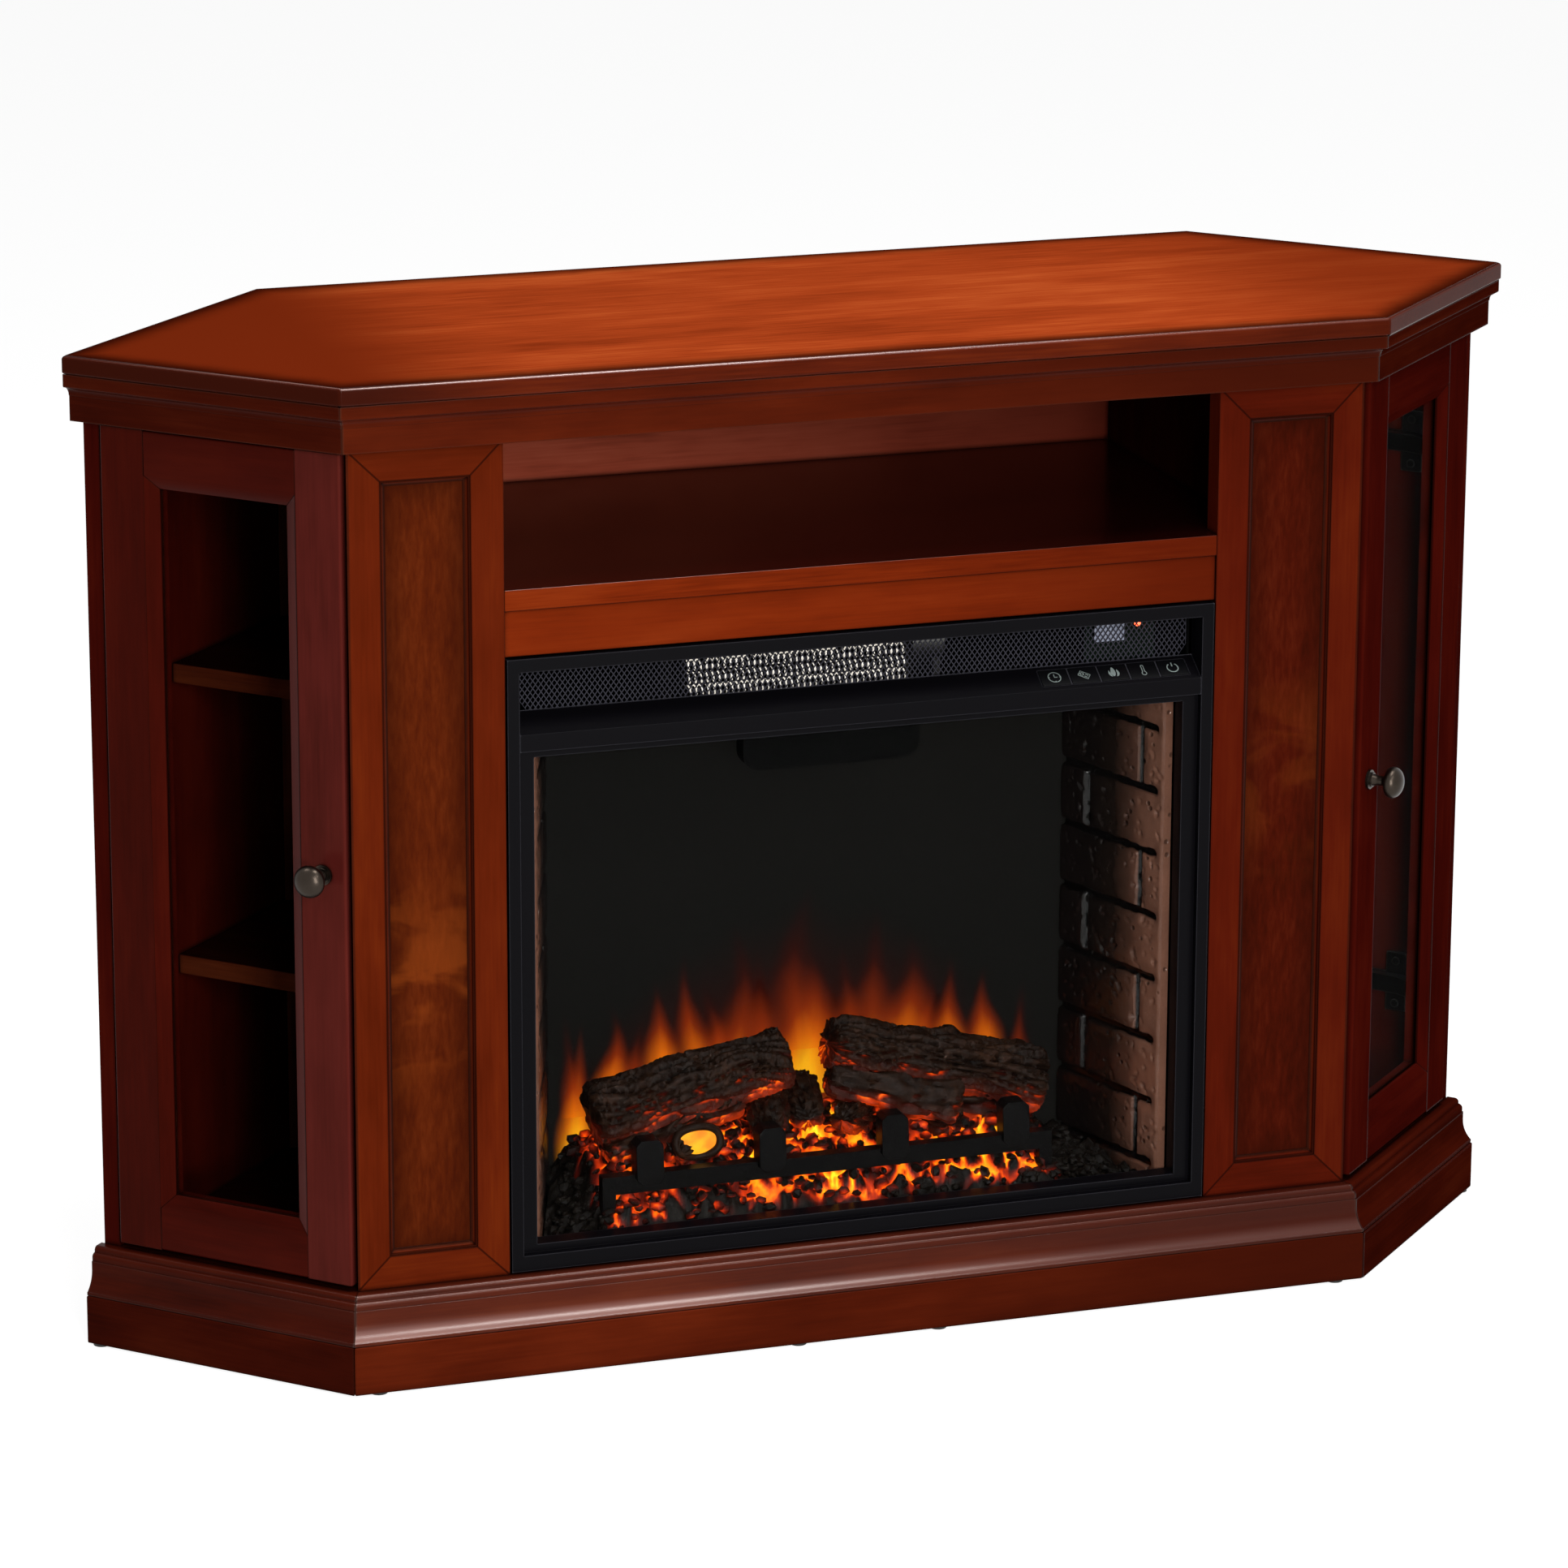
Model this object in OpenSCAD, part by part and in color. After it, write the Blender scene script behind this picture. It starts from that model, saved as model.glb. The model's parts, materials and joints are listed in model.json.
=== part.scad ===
// Corner fireplace cabinet: an electric hearth insert in a six-sided wooden
// media cabinet with two glazed corner doors.
// Frame: X to the right, Y towards the wall corner, Z up. The origin is on the
// floor under the middle of the cabinet.

/* [Overall] */
// Width over the two side corners of the top
width = 1219.2; // [1140:0.1:1300]
// Half the length of the straight front edge of the top
half_front = 432; // [425:1:440]
// Depth from the front edge to the back edge
depth = 380; // [370:1:400]
// Height of the top surface above the floor
height = 819; // [800:1:860]
// Thickness of the floor glides
glide_h = 2; // [1:0.5:5]
// Set-back of the carcass faces behind the edge of the top
face_in = 24.5; // [22:0.5:27]

/* [Top] */
// Thickness of the top slab
slab_t = 15; // [12:1:22]
// Height of the fillet under the slab
fillet_h = 10; // [7:0.5:12]
// Set-back of that fillet from the slab's edge
fillet_in = 2; // [1:0.5:4]
// Set-back of the flat frieze from the slab's edge
frieze_in = 10.5; // [8:0.5:13]
// Height of the whole top moulding
top_mould_h = 39; // [34:1:46]

/* [Base] */
// Height of the plain plinth boards
plinth_h = 40.5; // [30:0.5:50]
// Thickness of the plinth boards
plinth_t = 15; // [12:1:18]
// Height of the moulding on the plinth
base_mould_h = 38; // [34:1:44]
// Set-back of the upper face of the base moulding
cap_in = 9.3; // [8:0.1:11]
// Height of the cove at the bottom of the base moulding
cove_h = 16.5; // [14:0.5:18]
// Radius of the two small beads along the ledge
bead_r = 3.6; // [2.5:0.1:4]

/* [Carcass] */
// Thickness of the carcass boards
board_t = 15; // [12:1:18]
// Thickness of the back panels
back_t = 6; // [4:1:9]
// Set-back of the back panels from the back edge of the top
back_in = 6; // [4:1:12]
// Thickness of the front framing
face_t = 22; // [18:1:26]
// Inner face of each upright divider, from the middle
divider_x = 334; // [325:1:340]
// Set-back of the corner side boards from the edge of the top
side_in = 3; // [2:0.5:6]

/* [Media bay] */
// Half the width of the front opening between the pilasters
bay_half = 297; // [285:1:300]
// Height of the media shelf's top above the plinth's foot
shelf_z = 642.5; // [620:0.5:660]
// Thickness of the media shelf
shelf_t = 17; // [15:1:20]
// Height of the rail under the media shelf
rail_h = 37.5; // [30:0.5:45]
// Set-back of the rail behind the shelf's edge
rail_in = 2.5; // [1:0.5:5]
// Width of the cord opening behind the insert
vent_w = 420; // [300:10:480]

/* [Pilasters] */
// Width of the pilaster frame members
member_w = 26.5; // [22:0.5:30]
// Width of the bead inside the members
bead_w = 5; // [4:0.5:6]
// Depth of the panel behind the members' face
panel_in = 5; // [4:0.5:7]
// Thickness of the panel
panel_t = 9; // [6:1:12]

/* [Doors] */
// Distance that the door faces stand out past the carcass face
door_proud = 4; // [2:0.5:5]
// Thickness of the doors
door_t = 20; // [18:1:22]
// Gap between the knob edge and the corner line of the pilaster
knob_gap = 3.5; // [3:0.5:6]
// Gap between the hinge edge and the side board
hinge_gap = 2.2; // [1.6:0.1:4]
// Gap under the door
door_foot = 5; // [4:0.5:8]
// Gap over the door
door_head = 3; // [2:0.5:6]
// Flat width of the stiles
stile_w = 40; // [40:0.5:44]
// Flat height of the rails
door_rail_w = 36; // [30:0.5:40]
// Width of the bevel round the glass
bevel_w = 11; // [8:0.5:13]
// Depth of that bevel
bevel_d = 6; // [4:0.5:7]
// Thickness of the glass
glass_t = 3; // [2.5:0.5:4]
// Height of the knobs above the door's middle
knob_rise = 0; // [-20:1:20]
// Radius of the knob's head
knob_r = 13; // [11:0.5:15]
// Distance of the hinges from the door's middle
hinge_rise = 239; // [200:1:270]

/* [Side shelves] */
// Thickness of the side shelves
side_shelf_t = 16; // [12:1:19]
// Top of the upper side shelf above the plinth's foot
upper_z = 543; // [520:1:560]
// Top of the lower side shelf above the plinth's foot
lower_z = 298; // [280:1:320]
// Distance of their front edge from the edge of the top
shelf_front = 121; // [110:1:135]
// Radius of the shelf pins
pin_r = 2.5; // [2:0.5:3]

/* [Insert] */
// Gap round the insert's frame
insert_gap = 1.5; // [1:0.5:2.5]
// Width of the frame's side bars
bar_w = 10; // [8:0.5:14]
// Height of the frame's bottom bar
foot_bar = 13; // [10:0.5:16]
// Height of the frame's top bar
head_bar = 11; // [9:0.5:14]
// Depth of the frame
frame_d = 23; // [21:0.5:26]
// Top of the window above the plinth's foot
window_top = 511; // [490:1:515]
// Height of the lip over the window
lip_h = 14; // [12:1:17]
// Height that the control strip climbs from the lip to the mesh
strip_rise = 14; // [12:0.5:15]
// Thickness of the frame's skin at the lip and the strip
skin_t = 3; // [2.5:0.5:4]
// Width of the bezel that holds the glass
bezel_w = 13; // [10:0.5:15]
// Depth of the insert's casing
casing_d = 180; // [176:1:200]
// Thickness of the casing's sheet
sheet_t = 2; // [1.5:0.5:2.5]
// Depth of the hearth, from the glass to the flame screen
hearth_d = 130; // [126:1:134]
// Half the width of the hearth at the glass
hearth_half = 265; // [255:1:266]
// Half the width of the hearth at the flame screen
screen_half = 221; // [210:1:224]

// Half the width of the light's housing under the hood
light_half = 75; // [60:1:90]
// Height of that housing
light_h = 62; // [40:1:64]

/* [Brick panels] */
// Height from one brick course to the next
course_h = 53.4; // [48:0.1:60]
// Length of a brick with its joint
brick_l = 134; // [110:1:150]
// Width of the mortar joints
mortar = 6; // [5:0.5:9]
// Depth of the mortar joints
mortar_d = 4; // [3:0.5:5]
// Thickness of the moulded panel behind the joints
panel_back = 5; // [4:0.5:7]

/* [Keys] */
// Distance from one key to the next
key_pitch = 25.4; // [25:0.1:26]
// Middle of the last key, from the frame's side bar
key_end = 20.9; // [20:0.1:30]
// Width of a key
key_w = 24.2; // [22:0.1:24.2]
// Length of a key along the strip's slope
key_l = 17; // [14:0.5:18]
// Free space round a key
key_gap = 0.3; // [0.3:0.05:0.4]
// Travel of a key
key_travel = 1; // [0.8:0.1:1.2]

/* [Mesh] */
// Diamonds in one row of the grille
mesh_n = 66; // [40:1:68]
// Rows of diamonds
mesh_rows = 4; // [3:1:4]
// Width of the metal between the diamonds
strand = 1.2; // [1:0.1:1.4]

/* [Heater] */
// Length of the blower wheel
wheel_l = 190; // [160:5:210]
// Outer radius of the blower wheel
wheel_r = 22; // [18:0.5:22]
// Number of blades
blades = 20; // [12:1:24]
// Radius of the shafts of the blower wheel and of the flame rotor
shaft_r = 3; // [2.5:0.5:4]
// Running clearance round those shafts
shaft_fit = 0.08; // [0.03:0.01:0.1]
// Middle of the heater, right of the middle of the cabinet
heater_x = -45; // [-60:1:-30]
// Height of the wheel's axis above the plinth's foot
wheel_z = 547; // [545:1:549]

/* [Flame effect] */
// Length of the flame rotor's rod
rotor_l = 400; // [360:5:410]
// Number of reflecting tabs on the rod
tabs = 24; // [12:1:30]
// Radius reached by the tabs
tab_r = 14; // [10:0.5:15]
// Height of the rod above the plinth's foot
rotor_z = 140; // [130:1:160]

/* [Hidden] */

wood = "sienna";
dark_wood = "maroon";
panel_wood = "peru";
black_metal = "dimgray";
steel = "silver";

eps = 0.01;
root2 = sqrt(2);
half_w = width/2;
corner_y = half_w - half_front;           // depth of each side corner
run = corner_y*root2;                     // length of a front chamfer
back_half = half_w - (depth - corner_y);  // half the back edge
mitre = tan(22.5);
mitre_gap = 0.05;                         // hairline at each mitre
body_h = height - glide_h;                // heights below start at the plinth's foot
deck_z = plinth_h + base_mould_h;         // top of the deck and of the base ledge
slab_z = body_h - slab_t;
face_top = slab_z - top_mould_h;          // underside of the top moulding
sub_z = slab_z - board_t;                 // underside of the sub-top
back_y = depth - back_in - back_t;        // front of the back panels
pilaster_out = half_front - face_in*mitre;
side_out = run - side_in;                 // outer face of a side board, along the chamfer
side_face = side_out - board_t;           // its inner face
rail_z = shelf_z - shelf_t;               // underside of the media shelf
pin_back = 60;                            // rear shelf pins from the back panels
insert_top = rail_z - rail_h;             // underside of the media rail

// Door layout, along the chamfer (u) and inwards from the edge of the top (v)
door_v = face_in - door_proud;
door_u0 = face_in*mitre + knob_gap;
door_u1 = side_face - hinge_gap;
door_w = door_u1 - door_u0;
door_z0 = deck_z + door_foot;
door_z1 = face_top - door_head;
door_h = door_z1 - door_z0;
door_mid = (door_z0 + door_z1)/2;
rabbet = 3;                               // cover of the bevel's lip over the glass
lip_t = 2;                                // thickness of that lip
glass_v = door_v + bevel_d + lip_t;
stop_w = bevel_w - rabbet - 1;
cup_r = 17.5;
cup_d = 11.5;
cup_in = 22;                              // cup centre from the hinge edge
flange_t = 1.5;
arm_gap = 0.3;
screw_r = 2;

// Insert layout, Y from the front edge of the top
frame_y = face_in - 1;
frame_half = bay_half - insert_gap;
frame_back = frame_y + frame_d;
frame_z0 = deck_z + insert_gap;
frame_z1 = insert_top - insert_gap;
win_half = frame_half - bar_w;
win_z0 = frame_z0 + foot_bar;
strip_z = window_top + lip_h;             // front edge of the control strip
grille_z0 = strip_z + strip_rise;
grille_z1 = frame_z1 - head_bar;
strip_len = sqrt(frame_d*frame_d + strip_rise*strip_rise);
strip_tilt = atan2(strip_rise, frame_d);
key_x = win_half - key_end - 4*key_pitch; // middle of the first key
skin_drop = skin_t/cos(strip_tilt);       // height of the strip's skin, straight down
strip_half = 2*key_pitch + key_w/2 + 5;   // half the board under the keys
glass_y = frame_back;
casing_half = win_half - 2.5;
casing_back = frame_back + casing_d;
casing_top = frame_z1 - 3;
hood_z = window_top + 4;                  // floor of the heater compartment
hearth_y0 = glass_y + 4;
hearth_y1 = glass_y + hearth_d;
floor_z = deck_z + sheet_t;               // floor inside the casing
wheel_y = hearth_y0 + 90;
light_y = 60;                             // housing of the light, behind the glass
light_d = 18;
light_r = 14;
rotor_y = hearth_y1 + 3 + (casing_back - sheet_t - hearth_y1 - 3)/2;

// ---------- placing ----------

// Y from the front edge of the top and Z from the plinth's foot
module place() translate([0, -depth/2, glide_h]) children();

// X along the right chamfer from the front corner, Y inwards
module right_side() place() translate([half_front, 0, 0]) rotate([0, 0, 45]) children();

module left_side() mirror([1, 0, 0]) right_side() children();

module both_sides() {
    right_side() children();
    left_side() children();
}

module both_halves() {
    children();
    mirror([1, 0, 0]) children();
}

// A profile drawn as (depth, height), run along X
module along_x(len) rotate([90, 0, 90]) linear_extrude(len) children();

// A box from one corner to the other
module span(a, b) translate(a) cube(b - a);

// Plan of the six-sided body: set back by f at the front and the front
// chamfers, by s at the back chamfers and by b at the back
function plan_points(f, s, b) = let(
        x1 = half_front - f*mitre,
        x2 = (2*half_w - (f + s)*root2)/2,
        y2 = x2 - half_front + f*root2,
        y3 = depth - b,
        x3 = half_w + corner_y - s*root2 - y3)
    [[-x1, f], [x1, f], [x2, y2], [x3, y3], [-x3, y3], [-x2, y2]];

module plan(f, s, b) polygon(plan_points(f, s, b));

// Wedge in plan that holds the front run between its two mitres
module front_wedge(v) {
    x0 = half_front - mitre_gap;
    polygon([[-x0, 0], [x0, 0], [x0 - v*mitre, v], [-x0 + v*mitre, v]]);
}

// Wedge in plan, in chamfer coordinates, up to the square end
module side_wedge(v) polygon([[mitre_gap, 0], [run, 0], [run, v], [v*mitre + mitre_gap, v]]);

// The three mitred lengths of a moulding or a board round the front
module three_runs(v, h, z) {
    place() translate([0, 0, z]) intersection() {
        translate([-half_front, 0, 0]) along_x(2*half_front) children();
        translate([0, 0, -1]) linear_extrude(h + 2) front_wedge(v);
    }
    both_sides() translate([0, 0, z]) intersection() {
        along_x(run) children();
        translate([0, 0, -1]) linear_extrude(h + 2) side_wedge(v);
    }
}

// ---------- top ----------

module top_slab() color(wood) place() hull() {
    translate([0, 0, slab_z]) linear_extrude(eps) plan(1.2, 1.2, 1.2);
    translate([0, 0, slab_z + 1.6]) linear_extrude(slab_t - 4) plan(0, 0, 0);
    translate([0, 0, body_h - 0.9]) linear_extrude(eps) plan(0.7, 0.7, 0.7);
    translate([0, 0, body_h - eps]) linear_extrude(eps) plan(2.2, 2.2, 2.2);
}

module sub_top() color(wood) place() translate([0, 0, sub_z]) linear_extrude(board_t)
    plan(face_in, side_in, back_in);

// Fillet, cavetto and flat frieze
module top_profile() {
    cav = frieze_in - fillet_in;
    translate([frieze_in, 0]) square([face_in - frieze_in, top_mould_h]);
    translate([fillet_in, top_mould_h - fillet_h]) square([face_in - fillet_in, fillet_h]);
    difference() {
        translate([fillet_in + 0.5, top_mould_h - fillet_h - cav]) square([cav, cav + 0.5]);
        translate([fillet_in, top_mould_h - fillet_h - cav]) circle(cav - 0.6, $fn = 96);
    }
}

module top_moulding() color(dark_wood)
    three_runs(face_in, top_mould_h, face_top) top_profile();

// Rails behind the frieze, over the bay and over the doors
module header_rails() color(wood) {
    place() span([-pilaster_out, face_in, face_top], [pilaster_out, face_in + face_t, sub_z]);
    u0 = face_in*mitre + mitre_gap;
    both_sides() translate([0, 0, face_top]) linear_extrude(sub_z - face_top)
        polygon([[u0, face_in], [side_face, face_in], [side_face, face_in + face_t],
            [u0 + face_t, face_in + face_t]]);
}

// ---------- base ----------

module plinth() color(dark_wood) {
    three_runs(plinth_t, plinth_h, 0) square([plinth_t, plinth_h]);
    place() span([-back_half + board_t, back_y - board_t, 0], [back_half - board_t, back_y, deck_z - board_t]);
}

// Cove, quirk and two beads, with the ledge on top
module base_profile() {
    flare = cap_in - 2.2;
    cove_r = (flare*flare + cove_h*cove_h)/(2*flare);
    cove_z = 3 + cove_h;
    ledge_in = cap_in + 1 + 2*bead_r;
    translate([1.5, 0]) square([plinth_t - 1.5, 3]);
    difference() {
        translate([2.2, 3 - eps]) square([plinth_t - 2.2, cove_h + eps]);
        translate([cap_in - cove_r, cove_z]) circle(cove_r, $fn = 180);
    }
    translate([cap_in, cove_z - eps]) square([plinth_t - cap_in, base_mould_h - cove_z - 2*bead_r - 4]);
    intersection() {
        translate([cap_in, cove_z]) square([face_in - cap_in, base_mould_h - cove_z]);
        union() {
            translate([ledge_in, base_mould_h - bead_r]) circle(bead_r, $fn = 64);
            translate([ledge_in, 0]) square([face_in - ledge_in, base_mould_h]);
            translate([ledge_in - bead_r, 0]) square([bead_r, base_mould_h - bead_r]);
            translate([ledge_in - bead_r, base_mould_h - 2*bead_r - 1.2]) circle(bead_r, $fn = 64);
            translate([ledge_in - 2*bead_r, 0]) square([2*bead_r, base_mould_h - 2*bead_r - 1.2]);
        }
    }
}

module base_moulding() color(dark_wood) three_runs(face_in, base_mould_h, plinth_h)
    difference() {
        base_profile();
        translate([plinth_t, -1]) square([face_in, base_mould_h - board_t + 1]);
    }

module deck() color(wood) place() translate([0, 0, deck_z - board_t]) linear_extrude(board_t)
    difference() {
        plan(face_in, side_in, back_in);
        side_board_plan();
        mirror([1, 0]) side_board_plan();
    }

// Battens that tie the plinth to the deck
module base_cleats() color(panel_wood) {
    cleat = 20;
    foot = 12;
    len = half_front - plinth_t*mitre - cleat;
    place() span([-len, plinth_t, foot], [len, plinth_t + cleat, deck_z - board_t]);
    both_sides() span([plinth_t*mitre + cleat, plinth_t, foot], [side_face, plinth_t + cleat, deck_z - board_t]);
}

module glides() color("black") {
    pad = 14;
    place() both_halves() {
        translate([half_front - 22, 9, -glide_h]) cylinder(h = glide_h, r = pad/2, $fn = 48);
        translate([60, 9, -glide_h]) cylinder(h = glide_h, r = pad/2, $fn = 48);
        translate([back_half - 60, back_y - board_t/2, -glide_h]) cylinder(h = glide_h, r = pad/2, $fn = 48);
    }
    both_sides() translate([run - 9, 8, -glide_h]) cylinder(h = glide_h, r = pad/2, $fn = 48);
}

// ---------- carcass ----------

// Plan of the right side board, in cabinet coordinates
module side_board_plan() intersection() {
    translate([half_front, 0]) rotate(45)
        translate([side_face, face_in]) square([board_t, 2*depth]);
    translate([0, 0]) square([half_w, back_y]);
}

module side_board() difference() {
    place() union() {
        translate([0, 0, deck_z - board_t]) linear_extrude(sub_z - deck_z + board_t) side_board_plan();
        linear_extrude(deck_z - board_t) intersection() {
            side_board_plan();
            translate([half_front, 0]) rotate(45) translate([0, plinth_t]) square([run, 2*depth]);
        }
    }
    right_side() shelf_pin_sites() pin_hole();
}

module right_side_board() color(wood) side_board();

module left_side_board() color(wood) mirror([1, 0, 0]) side_board();

module divider() difference() {
    place() span([divider_x, face_in + face_t, deck_z], [divider_x + board_t, back_y, sub_z]);
    divider_pin_sites() pin_hole();
}

module right_divider() color(wood) divider();

module left_divider() color(wood) mirror([1, 0, 0]) divider();

module media_shelf() color(wood) place() {
    translate([0, 0, rail_z]) linear_extrude(shelf_t) {
        translate([-bay_half, face_in]) square([2*bay_half, face_t + 1]);
        translate([-divider_x, face_in + face_t]) square([2*divider_x, back_y - face_in - face_t]);
    }
}

module media_rail() color(wood) place()
    span([-bay_half, face_in + rail_in, insert_top], [bay_half, face_in + face_t, rail_z]);

module media_back() color(panel_wood) place()
    span([-divider_x - board_t/2, back_y, rail_z], [divider_x + board_t/2, back_y + back_t, sub_z]);

// Backs of the two side cupboards, and the frame-shaped back behind the insert
module lower_backs() color(panel_wood) place() {
    mid = divider_x + board_t/2;
    both_halves() translate([0, back_y, 0]) rotate([90, 0, 0]) mirror([0, 0, 1])
        linear_extrude(back_t) polygon([[mid + mitre_gap, deck_z], [back_panel_half(), deck_z],
            [back_panel_half(), sub_z], [mid + mitre_gap, sub_z]]);
    difference() {
        span([-mid, back_y, deck_z], [mid, back_y + back_t, rail_z]);
        span([-vent_w/2, back_y - 1, deck_z + 60], [vent_w/2, back_y + back_t + 1, rail_z - 60]);
    }
}

// Where the back panel meets the corner side board
function back_panel_half() = half_w + corner_y - side_in*root2 - back_y - back_t;

// ---------- pilasters ----------

function pilaster_w() = pilaster_out - bay_half;

// Section of a frame member: flat face, bead and the rabbet for the panel
module member_section() {
    square([member_w, face_t]);
    difference() {
        translate([member_w - eps, 1]) square([bead_w + eps, panel_in - 1]);
        translate([member_w + bead_w, 1]) circle(min(bead_w, panel_in - 1) - 0.4, $fn = 48);
    }
}

// One mitred member, running up Z from its outer corner, len long
module mitred_member(len) difference() {
    linear_extrude(len) member_section();
    w = member_w + bead_w;
    translate([0, -1, 0]) rotate([-90, 0, 0]) linear_extrude(face_t + 2)
        polygon([[0, 0], [w + 1, -w - 1], [w + 1, 1], [0, 1]]);
    translate([0, -1, len]) rotate([-90, 0, 0]) linear_extrude(face_t + 2)
        polygon([[0, 0], [w + 1, w + 1], [w + 1, -1], [0, -1]]);
}

module pilaster_frame() {
    w = pilaster_w();
    h = face_top - deck_z;
    place() translate([bay_half, face_in, deck_z]) intersection() {
        union() {
            mitred_member(h);
            translate([w, 0, 0]) mirror([1, 0, 0]) mitred_member(h);
            translate([w, 0, 0]) rotate([0, -90, 0]) mitred_member(w);
            translate([0, 0, h]) rotate([0, 90, 0]) mitred_member(w);
        }
        // the outer edge is cut square to the door beside it
        translate([0, 0, -1]) linear_extrude(h + 2)
            polygon([[0, 0], [w, 0], [w - face_t, face_t], [0, face_t]]);
    }
}

module right_pilaster_frame() color(wood) pilaster_frame();

module left_pilaster_frame() color(wood) mirror([1, 0, 0]) pilaster_frame();

module pilaster_panel() place()
    span([bay_half + member_w, face_in + panel_in, deck_z + member_w],
        [pilaster_out - member_w, face_in + panel_in + panel_t, face_top - member_w]);

module right_pilaster_panel() color(panel_wood) pilaster_panel();

module left_pilaster_panel() color(panel_wood) mirror([1, 0, 0]) pilaster_panel();

// ---------- side shelves ----------

module side_shelf(z) place() translate([0, 0, z - side_shelf_t]) linear_extrude(side_shelf_t)
    intersection() {
        translate([divider_x + board_t + 0.5, 0]) square([half_w, back_y - 0.5]);
        translate([half_front, 0]) rotate(45)
            translate([-depth, shelf_front]) square([depth + side_face - 0.5, 2*depth]);
    }

module side_shelves() color(wood) both_halves() {
    side_shelf(upper_z);
    side_shelf(lower_z);
}

// Pin places in the side board: under each shelf, front and back
module shelf_pin_sites() for (z = [upper_z, lower_z], v = [shelf_front + 25, back_y*root2 - side_face - pin_back])
    translate([side_face, v, z - side_shelf_t - pin_r]) rotate([0, 90, 0]) children();

// Pin places in the divider
module divider_pin_sites() place()
    for (z = [upper_z, lower_z], y = [shelf_front + 40, back_y - pin_back])
        translate([divider_x + board_t, y, z - side_shelf_t - pin_r]) rotate([0, -90, 0]) children();

module pin_hole() cylinder(h = 10, r = pin_r + 0.1, $fn = 32);

module shelf_pin() {
    cylinder(h = 9.5, r = pin_r, $fn = 32);
    translate([0, 0, -8]) cylinder(h = 8 + eps, r = pin_r, $fn = 32);
}

module shelf_pins() color(steel) both_halves() {
    right_side() shelf_pin_sites() shelf_pin();
    divider_pin_sites() shelf_pin();
}

// ---------- doors ----------

// Section of a door member, from its outer edge: flat face, bevel, lip and rabbet
module door_section(flat) {
    edge_r = 2;
    translate([edge_r, 0]) square([flat - edge_r, door_t]);
    translate([0, edge_r]) square([edge_r + eps, door_t - edge_r]);
    translate([edge_r, edge_r]) circle(edge_r, $fn = 48);
    polygon([[flat - eps, 0], [flat + bevel_w, bevel_d], [flat + bevel_w, bevel_d + lip_t],
        [flat + rabbet, bevel_d + lip_t], [flat + rabbet, door_t], [flat - eps, door_t]]);
}

// Face outline of a stile: square ends, with the bevel mitred at the rails
module stile_face() polygon([[0, 0], [stile_w, 0], [stile_w, door_rail_w],
    [stile_w + bevel_w, door_rail_w + bevel_w],
    [stile_w + bevel_w, door_h - door_rail_w - bevel_w],
    [stile_w, door_h - door_rail_w], [stile_w, door_h], [0, door_h]]);

// Face outline of a rail between the stiles
module rail_face() polygon([[stile_w, 0], [door_w - stile_w, 0], [door_w - stile_w, door_rail_w],
    [door_w - stile_w - bevel_w, door_rail_w + bevel_w],
    [stile_w + bevel_w, door_rail_w + bevel_w], [stile_w, door_rail_w]]);

// A face outline (along the door, up) given the door's thickness
module through_door() translate([0, door_t + 1, 0]) rotate([90, 0, 0]) linear_extrude(door_t + 2) children();

module door_place() right_side() translate([door_u0, door_v, door_z0]) children();

module stile() intersection() {
    linear_extrude(door_h) door_section(stile_w);
    through_door() stile_face();
}

module hinge_sites() for (s = [-1, 1]) translate([0, 0, door_h/2 + s*hinge_rise]) children();

module knob_site() translate([stile_w/2, 0, door_h/2 + knob_rise]) rotate([90, 0, 0]) children();

module door_stiles() door_place() {
    difference() {
        stile();
        knob_site() translate([0, 0, -door_t - 1]) cylinder(h = door_t + 2, r = screw_r + 0.2, $fn = 32);
    }
    difference() {
        translate([door_w, 0, 0]) mirror([1, 0, 0]) stile();
        hinge_sites() translate([door_w - cup_in, door_t + 1, 0]) rotate([90, 0, 0])
            cylinder(h = cup_d + 1, r = cup_r, $fn = 64);
    }
}

module door_rail() intersection() {
    translate([door_w, 0, 0]) rotate([0, -90, 0]) linear_extrude(door_w) door_section(door_rail_w);
    through_door() rail_face();
}

module door_rails() door_place() {
    door_rail();
    translate([0, 0, door_h]) mirror([0, 0, 1]) door_rail();
}

module door_glass() door_place() {
    in_u = stile_w + rabbet + 0.5;
    in_z = door_rail_w + rabbet + 0.5;
    span([in_u, glass_v - door_v, in_z], [door_w - in_u, glass_v - door_v + glass_t, door_h - in_z]);
}

// Four strips that hold the glass in its rabbet
module glass_stops() door_place() {
    in_u = stile_w + rabbet;
    in_z = door_rail_w + rabbet;
    v0 = glass_v - door_v + glass_t;
    v1 = door_t - 1;
    for (u = [in_u, door_w - in_u - stop_w])
        span([u, v0, in_z], [u + stop_w, v1, door_h - in_z]);
    for (z = [in_z, door_h - in_z - stop_w])
        span([in_u + stop_w, v0, z], [door_w - in_u - stop_w, v1, z + stop_w]);
}

// Mushroom knob on a rosette, with its screw through the stile
module knob() door_place() knob_site() {
    rotate_extrude($fn = 72) {
        square([8, 2]);
        translate([0, 1]) square([6, 3]);
        polygon([[0, 3], [5.2, 3], [4, 8], [4.2, 13], [7, 17], [0, 17]]);
        intersection() {
            translate([0, 17]) square([knob_r, 13]);
            translate([0, 21]) scale([knob_r/9, 1]) circle(9, $fn = 72);
        }
    }
    translate([0, 0, -door_t]) cylinder(h = door_t + eps, r = screw_r, $fn = 32);
    translate([0, 0, -door_t - 2]) cylinder(h = 2, r = 2*screw_r, $fn = 32);
}

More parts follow.
